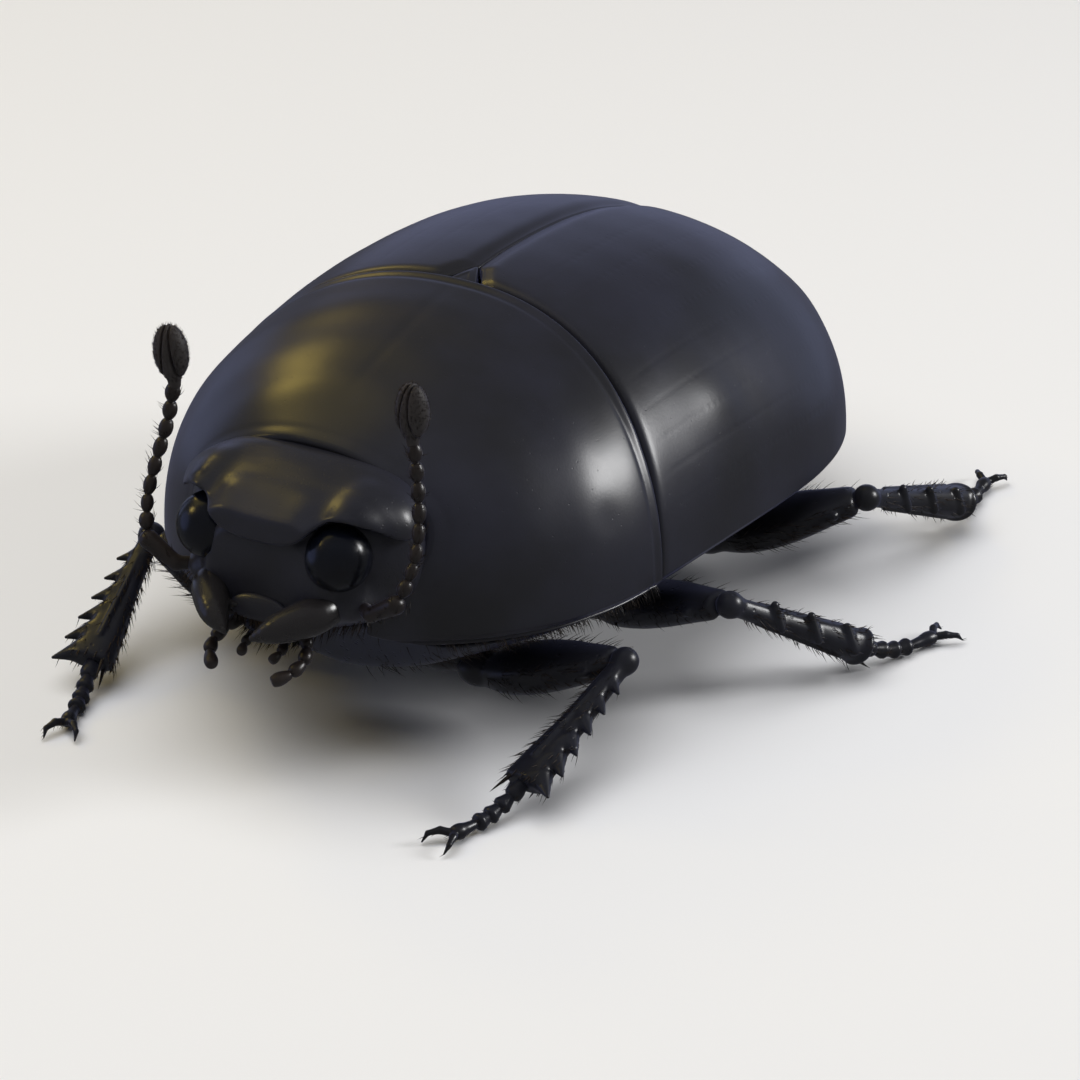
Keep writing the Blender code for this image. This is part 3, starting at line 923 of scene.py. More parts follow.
@dataclass(frozen=True)
class Bristles:
    """A kind of hair: a tapered curved thread.

    Its patch on the bake map lies at its root's place on the unwrap of the limb or body that
    it grows on, rolled out round the line from start to end.
    """

    length: float
    radius: float = 0.014
    spread: float = 0.25  # how far the directions wander
    curl: float = 0.3  # how far the tips bend towards the lean
    sides: int = 3
    rings: int = 3
    patch: float = 0.003

    def grow(
        self, roots: Roots, lean: Point, start: Point, end: Point, seed: int, stand: float = 1.0
    ) -> Surface:
        """Grows one hair from each root.

        Args:
            roots: Where they grow.
            lean: The direction that they lean and curl towards.
            start: Where the line that the bake map is rolled round begins.
            end: Where it ends.
            seed: Starts the hairs' own random numbers.
            stand: How strongly they stand out from the surface, against 1 for the lean.

        Returns:
            The hairs as one surface, with its map.
        """
        rng = np.random.default_rng(seed)
        count = len(roots.points)
        lean = unit(lean)
        direction = unit_rows(roots.normals * stand + lean + rng.normal(0, self.spread, (count, 3)))
        length = self.length * rng.uniform(0.65, 1.15, count)
        side = unit_rows(np.cross(direction, rng.normal(0, 1, (count, 3))))
        other = np.cross(direction, side)
        turns = (np.arange(self.sides) * math.tau / self.sides)[:, None]
        circle = side[:, None] * np.cos(turns) + other[:, None] * np.sin(turns)
        shares = np.linspace(0, 1, self.rings + 1)
        base = roots.points - direction * self.radius
        bend = lean * self.curl
        rows = []
        for share in shares[:-1]:
            middle = base + (direction * share + bend * share**2) * length[:, None]
            rows.append(middle[:, None] + circle * self.radius * (1 - share) ** 0.7)
        tips = base + (direction + bend) * length[:, None]
        points = np.concatenate([np.stack(rows, axis=1).reshape(count, -1, 3), tips[:, None]], axis=1)
        patches = self.unrolled(roots.points, np.asarray(start, float), np.asarray(end, float))
        return self.skin(points, patches)

    def skin(self, points: Array, patches: Array) -> Surface:
        """Joins each hair's points by faces.

        Args:
            points: For each hair its rings' points, then its tip.
            patches: Each hair's place on the map.

        Returns:
            The hairs' surface, with its map.
        """
        count, per_hair = points.shape[:2]
        ring = np.arange(self.sides)
        after = (ring + 1) % self.sides
        quad = np.stack([ring, after, after + self.sides, ring + self.sides], axis=-1)
        quads = [quad + row * self.sides for row in range(self.rings - 1)]
        top = (self.rings - 1) * self.sides
        cone = np.stack([ring + top, after + top, np.full(self.sides, per_hair - 1)], axis=-1)
        corners = np.concatenate([np.concatenate(quads).reshape(-1), cone.reshape(-1)])
        sizes = np.concatenate([np.full(len(quads) * self.sides, 4), np.full(self.sides, 3)])
        spots = np.stack([corners % self.sides / self.sides, corners / per_hair], axis=-1) * self.patch
        starts = np.arange(count)[:, None] * per_hair
        return Surface(
            points.reshape(-1, 3),
            (corners + starts).reshape(-1),
            np.tile(sizes, count),
            (patches[:, None] + spots[None]).reshape(-1, 2),
        )

    def unrolled(self, points: Array, start: Array, end: Array) -> Array:
        """Places on the map: round the line across, and along it up."""
        upright = abs(unit(end - start)[2]) > 0.9
        axis, side, normal = limb_axes(start, end, (0, 1, 0) if upright else (0.02, 0.01, 1.0))
        local = points - start
        along = local @ axis
        around = np.arctan2(local @ normal, local @ side) / math.tau + 0.5
        span = max(float(np.ptp(along)), 1e-6)
        return np.stack([around * 0.99, (along - along.min()) / span * 0.99], axis=-1)


# The body.


@dataclass(frozen=True)
class Skin:
    """The smooth form that all body plates lie on: a dome over a keel."""

    length: float = 20.0  # from the jaws' tips to the tail
    width: float = 12.0
    back: float = 8.52  # height of the back over the floor
    belly: float = 1.1  # height of the belly over the floor
    middle_height: float = 3.3  # of the widest level, at the chest
    sink: float = 0.04  # how steeply that level falls towards the tail
    collar_front: float = -7.12  # along the back's middle line
    collar_back: float = -1.3
    collar_widest: float = -2.4
    collar_reach: float = 5.93  # from its widest line to where its sides would meet
    collar_edge: float = math.radians(104)  # turn from the top where the collar ends
    case_edge: float = math.radians(108)  # where the wing cases end
    front_corners: float = 0.9  # how far the collar's front corners reach past its middle
    corner: float = math.radians(12)  # the reach of the rounding of these corners
    corner_depth: float = 0.7
    back_corners: float = 1.4  # how far its back corners lie ahead of its middle
    front_run: float = 11.4  # from the crown to where the back would meet the widest level
    dome_power: float = 2.2  # 2 is an ellipse, and more is squarer
    back_powers: tuple[float, float] = (2.1, 2.4)  # of the back's line, ahead of the crown and behind it
    tail_power: float = 2.4  # of the end, seen from above
    keel_power: float = 1.35  # a flat V

    @property
    def tail(self) -> float:
        """Where the body ends."""
        return 0.49 * self.length

    @property
    def widest(self) -> float:
        """Where the wing cases are widest."""
        return 0.12 * self.length

    @property
    def crown(self) -> float:
        """Where the back is highest."""
        return 0.075 * self.length

    def arch(self, run: Array, power: float) -> Array:
        """1 at no run, falling to 0 at a run of 1."""
        return (1 - np.clip(np.abs(run), 0, 1) ** power) ** (1 / power)

    def middle(self, y: Array) -> Array:
        """Height of the widest level."""
        return self.middle_height - self.sink * (y + np.hypot(y, 2))

    def half_width(self, y: Array) -> Array:
        """Half the width seen from above."""
        widest, collar = self.width / 2, 0.48 * self.width
        front = collar * self.arch((y - self.collar_widest) / self.collar_reach, 2.0)
        rear = widest * self.arch((y - self.widest) / (self.tail - self.widest), self.tail_power)
        between = widest - (widest - collar) * ((self.widest - y) / (self.widest - self.collar_widest)) ** 2
        return np.where(y <= self.collar_widest, front, np.where(y >= self.widest, rear, between))

    def back_rise(self, y: Array) -> Array:
        """Height of the back over the widest level."""
        run = y - self.crown
        front = self.arch(np.minimum(run, 0) / self.front_run, self.back_powers[0])
        rear = self.arch(np.maximum(run, 0) / (self.tail - self.crown), self.back_powers[1])
        return (self.back - self.middle_height) * front * rear

    def belly_drop(self, y: Array) -> Array:
        """Depth of the belly under the widest level."""
        return (self.middle_height - self.belly) * self.arch(y / (1.04 * self.tail), 3.0)

    def point(self, y: Array, angle: Array, inset: Array | float = 0.0) -> Array:
        """Points of the skin.

        Args:
            y: Places along the body.
            angle: Turns from the top: a quarter turn is the left side, a half turn the belly.
            inset: How far inside the skin.

        Returns:
            The points.
        """
        y, angle, inset = np.broadcast_arrays(np.asarray(y, float), angle, inset)
        rise = np.cos(angle)
        power = 2 / np.where(rise > 0, self.dome_power, self.keel_power)
        height = np.where(rise > 0, self.back_rise(y), self.belly_drop(y))
        x = np.maximum(self.half_width(y) - inset, 0) * signed_power(np.sin(angle), power)
        z = np.maximum(height - inset, 0) * signed_power(rise, power)
        return np.stack([x, y, self.middle(y) + z], axis=-1)

    def front_edge(self, angle: Array) -> Array:
        """Where the collar begins."""
        turn = np.abs(angle)
        share = np.clip((turn - self.collar_edge) / self.corner + 1, 0, 1)
        rounding = self.corner_depth * (1 - np.sqrt(1 - 0.999 * share**2))
        return self.collar_front - self.front_corners * smooth_step(turn / math.radians(45) - 1) + rounding

    def back_edge(self, angle: Array) -> Array:
        """Where the collar ends."""
        return self.collar_back - self.back_corners * np.sin(angle) ** 2


@dataclass(frozen=True)
class Mound:
    """A soft rise on a shell, or a dip where its height is negative."""

    along: float
    length: float
    turn: float  # from the top, in degrees
    width: float
    height: float

    def at(self, y: Array, turn: Array, radius: float) -> Array:
        """Its height at places along and round the shell, whose round has a radius."""
        across = (turn - math.radians(self.turn)) * radius
        return self.height * hill(y - self.along, self.length) * hill(across, self.width)


@dataclass(frozen=True)
class Edging:
    """A raised bead along a shell's edge, with a groove inside it."""

    height: float
    bead: float  # from the edge to the bead
    groove: float  # from the edge to the groove
    width: float

    def at(self, inward: Array) -> Array:
        """Its height at distances from the edge."""
        return self.height * (hill(inward - self.bead, self.width) - hill(inward - self.groove, self.width))


@dataclass(frozen=True)
class Collar:
    """The pronotum: a domed shield with a beaded rim, a pit on each side and a faint middle line."""

    skin: Skin
    rows: int = 300
    columns: int = 270
    floor_columns: int = 36
    radius: float = 4.6  # of its round, nearly
    edging: Edging = Edging(0.05, 0.10, 0.28, 0.08)
    front_edging: float = 0.12  # how strong the edging is in front, against 1 at the sides
    rear_edging: float = 0.3
    dimple: Mound = Mound(-4.1, 0.34, 70, 0.42, -0.02)
    line_depth: float = 0.010  # of the middle line
    line_width: float = 0.07
    rim: float = 0.07  # radius of the rounding at the front and rear edges
    rim_fade: float = 0.3  # how much of the relief the rim carries
    vault: float = 0.45  # how far the hidden floor rises from its edges
    vault_edge: float = 0.06  # how steeply it starts
    # How a rim curls in: how far behind the edge and how deep each ring lies, from the deepest out.
    lip: tuple[tuple[float, float], ...] = (
        (1.1, 1.5),
        (0.8, 1.15),
        (0.5, 0.8),
        (0.25, 0.5),
        (0.08, 0.32),
        (0.0, 0.2),
        (-0.06, 0.12),
        (-0.07, 0.06),
        (-0.05, 0.02),
    )

    def relief(self, y: Array, angle: Array) -> Array:
        """Height of the fine form over the skin."""
        skin = self.skin
        height = self.edging.at((skin.collar_edge - np.abs(angle)) * self.radius)
        height += self.front_edging * self.edging.at(y - skin.front_edge(angle))
        height += self.rear_edging * self.edging.at(skin.back_edge(angle) - y)
        height += self.dimple.at(y, np.abs(angle), self.radius)
        along = smooth_step((y + 6.0) / 1.5) * smooth_step(-1.4 - y)
        height -= self.line_depth * hill(angle * self.radius, self.line_width) * along
        waves = 0.012 * np.sin(2.1 * y + 0.8) * np.cos(3.3 * angle)
        return height + waves + 0.006 * np.sin(4.3 * y + 7 * np.abs(angle))

    def surface(self) -> Surface:
        """Builds the shield as a closed shape with a rounded rim and a hollow where the head sits."""
        skin = self.skin
        angle = np.linspace(-skin.collar_edge, skin.collar_edge, self.columns)
        run = smooth_step(np.linspace(0, 1, self.rows)) * 0.55 + np.linspace(0, 1, self.rows) * 0.45
        rings = [self.ring(angle, 0.0, ahead, inset) for ahead, inset in self.lip]
        rings += [self.ring(angle, share, 0.0, 0.0) for share in run]
        rings += [self.ring(angle, 1.0, -ahead, inset) for ahead, inset in self.lip[:3:-1]]
        return Surface.loft(np.asarray(rings)).facing_out()

    def ring(self, angle: Array, share: float, ahead: float, inset: float) -> Array:
        """One ring: over the dome, then back under it.

        Args:
            angle: The turns of its points over the dome.
            share: Its place from the front edge to the rear one.
            ahead: How far it is moved along the body.
            inset: How far it lies inside the skin.

        Returns:
            The ring's points.
        """
        skin = self.skin
        y = (skin.front_edge(angle) + self.rim) * (1 - share) + (skin.back_edge(angle) - self.rim) * share
        strength = 1.0 if inset == 0 else self.rim_fade
        over = skin.point(y + ahead, angle, inset - self.relief(y, angle) * strength)
        edge = over[-1]
        middle = skin.collar_front * (1 - share) + skin.collar_back * share + ahead
        inward = np.linspace(0, 2, self.floor_columns + 2)[1:-1]
        x = edge[0] * (1 - inward)
        near = 1 - np.abs(1 - inward)
        floor = edge[2] + self.vault * smooth_step(near * 1.4) + self.vault_edge * smooth_step(near * 8)
        return np.concatenate([over, np.stack([x, edge[1] + (middle - edge[1]) * near, floor], axis=-1)])

    def build(self, shop: Workshop) -> None:
        """Makes the shield and the fringe under its rim."""
        shield = self.surface()
        shop.place("collar_shield", shield, Finish.COLLAR, "shell", ["pronotum"])

        def under_rim(points: Array, normals: Array) -> Array:
            x, y, z = points.T
            low = z < self.skin.point(y, self.skin.collar_edge)[:, 2] + 0.02
            return low & (normals[:, 2] < -0.5) & (np.abs(x) > self.skin.half_width(y) - 0.35) & (y < -1.9)

        roots = Roots.scattered(shield, 300, 2, under_rim)
        roots = Roots(roots.points, unit_rows(roots.points * (1, 0, 0) + (0, 0, -3)))
        hairs = Bristles(0.26, 0.010, 0.2).grow(roots, (0, 0.1, -1), (0, -8, 3.5), (0, 0, 3.5), seed=3)
        shop.place("collar_bristles", hairs, Finish.BRISTLE, "shell")


@dataclass(frozen=True)
class WingCases:
    """The elytra: two smooth shells with a fine bead, faint rows of pits and a shoulder knob."""

    skin: Skin
    thickness: float = 0.4
    rows: int = 300
    front_rows: int = 30  # the closer rows at the front edge
    columns: int = 250
    inner_columns: int = 26
    rim_columns: int = 5  # on the rounded rims
    radius: float = 5.3  # of its round, nearly
    seam: float = 0.02  # from the middle line to the inner edge
    seam_depth: float = 0.11  # of the slope down to the seam
    seam_width: float = 0.17
    front_depth: float = 0.09  # of the slope down to the front edge
    front_width: float = 0.16
    tuck: float = 0.30  # how far the front edge itself dips under the collar
    tuck_run: float = 0.008  # over what share of the case's length it does so
    edging: Edging = Edging(0.045, 0.12, 0.34, 0.09)
    shoulder: Mound = Mound(0.55, 0.75, 60, 0.7, 0.05)
    rear_bump: Mound = Mound(8.0, 0.8, 48, 1.0, 0.06)
    lines: int = 9  # rows of pits
    line_depth: float = 0.0022
    line_width: float = 0.062
    line_span: float = math.radians(92)  # the turn over which the rows are spread
    pit_gap: float = 0.24
    wave_height: float = 0.003
    shield_length: float = 0.78
    shield_width: float = 0.46
    shield_gap: float = 0.03

    def shield_edge(self, y: float) -> Array:
        """Half width of the scutellum, which the cases part round."""
        share = np.clip((y - self.skin.collar_back) / self.shield_length, 0, 1)
        return self.shield_width * (1 - share) ** 0.8

    def relief(self, y: Array, angle: Array, start: Array) -> Array:
        """Height of the fine form over the skin."""
        front = y - self.skin.back_edge(angle)
        height = self.edging.at((self.skin.case_edge - angle) * self.radius)
        height -= self.seam_depth * hill((angle - start) * self.radius, self.seam_width)
        height -= self.front_depth * hill(front, self.front_width)
        for mound in (self.shoulder, self.rear_bump):
            height += mound.at(y, angle, self.radius)
        fade = smooth_step((front - 0.25) / 0.8) * smooth_step((9.2 - y) / 1.2)
        for number in range(self.lines):
            place = self.line_span * (number + 1.6) / (self.lines + 2.6)
            beat = y / self.pit_gap + 0.37 * number + 0.25 * np.sin(1.7 * y + number)
            depth = self.line_depth * (0.925 + 0.375 * np.cos(math.tau * beat))
            height -= depth * fade * hill((angle - place) * self.radius, self.line_width)
        waves = np.sin(3.1 * y + 5.2 * angle) * np.cos(1.3 * y - 7.0 * angle)
        return height + self.wave_height * fade * waves

    def surface(self) -> Surface:
        """Builds the left case as one closed shell, ring by ring along the body."""
        skin = self.skin
        end = skin.tail - 0.004
        across = np.linspace(0, 1, self.columns)
        inner = np.linspace(1, 0, self.inner_columns)
        fold = np.linspace(0, 1, self.rim_columns + 2)[1:-1]
        close = 1 - np.cos(np.linspace(0, 0.5, self.front_rows))
        share = 1 - (1 - np.concatenate([close, np.linspace(0.125, 1, self.rows)[1:]])) ** 1.5
        rings = []
        for run in share:
            outer = self.strip(across, run, end, 0.0, True)
            under = self.strip(inner, run, end, self.thickness, False)
            rounding = np.stack([self.bridge(outer[-1], under[0], step, (0.35, 0, -1)) for step in fold])
            wall = np.stack([self.bridge(under[-1], outer[0], step, (-0.3, 0, 0)) for step in fold])
            rings.append(np.concatenate([outer, rounding, under, wall]))
        return Surface.loft(np.asarray(rings)).facing_out()

    def strip(self, across: Array, run: float, end: float, inset: float, carved: bool) -> Array:
        """Points of one ring on the case's outer or inner side.

        Args:
            across: Their places from the seam to the side.
            run: The ring's place from the front to the tail.
            end: Where the case ends.
            inset: How far inside the skin they lie.
            carved: Whether they carry the fine form.

        Returns:
            The points.
        """
        skin = self.skin
        front = skin.back_edge(skin.case_edge * across) + 0.02
        y = front * (1 - run) + end * run
        middle = skin.collar_back * (1 - run) + end * run
        beside_shield = middle < skin.collar_back + self.shield_length
        gap = max(self.seam, float(self.shield_edge(middle)) + self.shield_gap if beside_shield else 0.0)
        width = np.maximum(skin.half_width(y) - inset, 0.05)
        start = np.arcsin(np.clip(gap / width, 0, 0.97) ** (skin.dome_power / 2))
        angle = start + (skin.case_edge - start) * across
        depth = inset + self.tuck * max(0.0, 1 - run / self.tuck_run) ** 2
        if carved:
            depth = depth - self.relief(y, angle, start)
        points = skin.point(np.minimum(y, end - 0.6 * inset), angle, depth)
        points[:, 0] = np.maximum(points[:, 0], gap)
        return points

    def bridge(self, first: Array, last: Array, share: float, bulge: Point) -> Array:
        """A point on the rounded rim between the two sides of the case."""
        span = np.linalg.norm(last - first)
        return first + (last - first) * share + np.asarray(bulge) * (0.3 * span * math.sin(math.pi * share))

    def build(self, shop: Workshop) -> None:
        """Makes both cases."""
        shop.place_pair("wing_case", self.surface(), Finish.WING_CASE, "shell", ["elytron"])


@dataclass(frozen=True)
class ScutellumShield:
    """The small pointed shield between the wing cases."""

    skin: Skin
    front: float = -1.45
    point: float = -0.55
    half_width: float = 0.46
    depth: float = 0.05  # how far it lies under the skin
    fall: float = 0.12  # how much lower its sides lie
    underneath: float = 7.1  # height of its flat lower face
    soft: float = 0.08  # the rounding of its edges

    def surface(self) -> Surface:
        """Builds the shield as a plate cut to a triangle."""
        skin = self.skin

        def distance(points: Array) -> Array:
            x, y, z = points.T
            top = skin.middle(y) + skin.back_rise(y) - self.depth - self.fall * (x / self.half_width) ** 2
            side = self.half_width * (self.point - y) / (self.point - self.front) - np.abs(x)
            rim = 0.02 * hill(side - 0.16, 0.05)
            return z - top - rim

        lid = Form(distance, np.asarray([-1.2, self.front, 6.5]), np.asarray([1.2, self.point, 8.6]))
        form = lid.keep(Form.side_of((0, 0, self.underneath), (0, 0, -1)), 0.05)
        slope = self.half_width / (self.point - self.front)
        for side in (-1, 1):
            form = form.keep(Form.side_of((0, self.point, 0), (side, slope, 0)), self.soft)
        return form.keep(Form.side_of((0, self.front, 0), (0, -1, 0)), self.soft).mesh(0.028)

    def build(self, shop: Workshop) -> None:
        """Makes the shield."""
        shop.place("scutellum_shield", self.surface(), Finish.COLLAR, "shell", ["scutellum"])


@dataclass(frozen=True)
class Trunk:
    """The chest's and the belly's plates, under the shells."""

    skin: Skin
    under_shell: float = 0.85  # how far it lies inside the skin where a shell covers it
    chest: tuple[float, float] = (-7.5, -2.3)
    middle: tuple[float, float] = (-2.22, 0.36)
    rear: tuple[float, float] = (0.44, 3.66)
    belly: tuple[float, float] = (3.72, 8.55)
    rings: tuple[float, ...] = (4.7, 5.55, 6.4, 7.2, 7.9, 8.6)  # rear edges of the belly's rings
    tail_plate: tuple[float, float] = (8.4, 9.62)
    inner_gap: float = 0.03  # how far it lies inside the skin elsewhere
    flatness: float = 0.8  # turns a share of its size into a distance that is never too long
    soft: float = 0.14  # the rounding of its edges
    front_soft: float = 0.3  # of the first and the last plate's edges
    socket_gap: float = 0.07
    socket_rim: float = 0.05
    ring_step: float = 0.09  # how far each ring stands over the next one
    # The ridge between the front legs: its places and radii.
    keel: tuple[Point, ...] = ((0, -5.9, 1.9), (0, -4.4, 1.2), (0, -2.9, 1.35))
    keel_radii: Point = (0.2, 0.16, 0.24)
    neck: Point = (0, -7.6, 4.5)
    neck_radii: Point = (2.72, 1.2, 1.72)
    cell: float = 0.075

    def solid(self, ends: tuple[float, float], soft: float) -> Form:
        """The solid inside the skin between two lines across the body.

        Args:
            ends: Its front and rear lines.
            soft: The rounding of its edges.

        Returns:
            The solid.
        """
        skin = self.skin

        def distance(points: Array) -> Array:
            x, y, z = points.T
            rise = z - skin.middle(y)
            edge = np.where(y < -2.7, skin.collar_edge, skin.case_edge)
            edge_rise = -skin.belly_drop(y) * np.abs(np.cos(edge)) ** (2 / skin.keel_power)
            inset = self.under_shell * smooth_step((rise - edge_rise + 0.12) / 0.1) + self.inner_gap
            a = np.maximum(skin.half_width(y) - inset, 0.05)
            b = np.maximum(np.where(rise > 0, skin.back_rise(y), skin.belly_drop(y)) - inset, 0.05)
            power = np.where(rise > 0, skin.dome_power, skin.keel_power)
            size = rounded_size((x / a, rise / b), power)
            return (size - 1) * np.minimum(a, b) * self.flatness

        half = skin.width / 2
        whole = Form(distance, np.asarray([-half, ends[0], 0.6]), np.asarray([half, ends[1], 4.7]))
        whole = whole.keep(Form.side_of((0, 0, 4.6), (0, 0, 1)), 0.2)
        fore = Form.side_of((0, ends[0], 0), (0, -1, 0))
        return whole.keep(fore.keep(Form.side_of((0, ends[1], 0), (0, 1, 0))), soft)

    def sockets(self, form: Form, leg: "Leg") -> Form:
        """Cuts the pits in which a pair of legs sits, each with a low rim."""
        centre, radii = np.asarray(leg.coxa), np.asarray(leg.coxa_radii)

        def rim(points: Array) -> Array:
            local = (left_side(points) - centre) / radii
            return self.socket_rim * hill(np.linalg.norm(local, axis=1) - 1.22, 0.12)

        pits = [Form.ball(centre * (side, 1, 1), radii + self.socket_gap) for side in (1, -1)]
        return form.raised(rim).cut(pits[0].join(pits[1]), 0.06)

    def chest_plate(self) -> Surface:
        """The front plate, under the collar."""
        form = self.solid(self.chest, self.front_soft)
        keel = Form.chain(self.keel, self.keel_radii, 0.2)
        form = self.sockets(form.join(keel, 0.35), LEGS[0])
        form = form.keep(Form.side_of((0, -7.36, 3.1), (0, -1, -0.62)), 0.3)
        return form.cut(Form.ball(self.neck, self.neck_radii), 0.12).mesh(self.cell)

    def middle_plate(self) -> Surface:
        """The plate between the middle legs."""
        form = self.solid(self.middle, self.soft)

        def seam(points: Array) -> Array:
            x, y, _ = points.T
            return -0.05 * hill(y + 1.5 + 0.28 * np.abs(x), 0.07)

        return self.sockets(form.raised(seam), LEGS[1]).mesh(self.cell)

    def rear_plate(self) -> Surface:
        """The broad plate before the hind legs, with a middle furrow."""

        def relief(points: Array) -> Array:
            x, y, _ = points.T
            furrow = -0.08 * hill(x, 0.12) * smooth_step((y - 0.7) / 0.5)
            side = -0.06 * hill(np.abs(x) - 3.4 - 0.3 * (y - 2.0), 0.09)
            swelling = 0.06 * hill(np.hypot(np.abs(x) - 0.9, y - 1.9), 0.7)
            return furrow + side + swelling

        return self.sockets(self.solid(self.rear, self.soft).raised(relief), LEGS[2]).mesh(self.cell)

    def belly_rings(self) -> Surface:
        """The belly, in rings that overlap to the rear."""
        ends = np.asarray((self.belly[0], *self.rings))

        def relief(points: Array) -> Array:
            x, y, _ = points.T
            bent = y + 0.03 * x**2 * smooth_step((8.4 - y) / 3)
            number = np.clip(np.searchsorted(ends, bent) - 1, 0, len(ends) - 2)
            share = np.clip((bent - ends[number]) / (ends[number + 1] - ends[number]), 0, 1)
            return self.ring_step * (share - smooth_step((share - 0.93) / 0.07)) - 0.03

        return self.sockets(self.solid(self.belly, self.soft).raised(relief), LEGS[2]).mesh(self.cell)

    def tail(self) -> Surface:
        """The plate that closes the tail under the wing cases."""
        form = self.solid(self.tail_plate, self.front_soft)
        return form.raised(lambda points: 0.05 * hill(points[:, 1] - 9.1, 0.3)).mesh(0.05)

    def build(self, shop: Workshop) -> None:
        """Makes the plates and their hairs."""
        plates = (
            ("chest_plate", "prosternum", self.chest_plate(), 900, 0.42),
            ("middle_plate", "mesosternum", self.middle_plate(), 500, 0.36),
            ("rear_plate", "metasternum", self.rear_plate(), 650, 0.34),
            ("belly_rings", "abdomen", self.belly_rings(), 900, 0.24),
            ("tail_plate", "pygidium", self.tail(), 160, 0.24),
        )
        hairs = []
        for seed, (name, node, surface, count, length) in enumerate(plates, 51):
            shop.place(name, surface, Finish.UNDERSIDE, "underside", [node])
            roots = Roots.scattered(surface, count, seed, self.is_hairy)
            kind = Bristles(length, 0.010, 0.25)
            hairs.append(kind.grow(roots, (0, 1, -0.25), (0, -8, 3), (0, 10, 3), seed=seed + 10, stand=0.55))
        shop.place("trunk_bristles", Surface.joined(hairs), Finish.BRISTLE, "underside")

    def is_hairy(self, points: Array, normals: Array) -> Array:
        """Whether hair grows at points of the underside: all but its middle strip and hidden faces."""
        x, y, z = points.T
        open_side = (normals[:, 2] < -0.15) & (z < self.skin.middle(y) - 0.55)
        return open_side & (np.abs(x) > 0.5 + 0.9 * np.sin(37 * x) ** 2 * np.cos(23 * y) ** 2)


# The head.


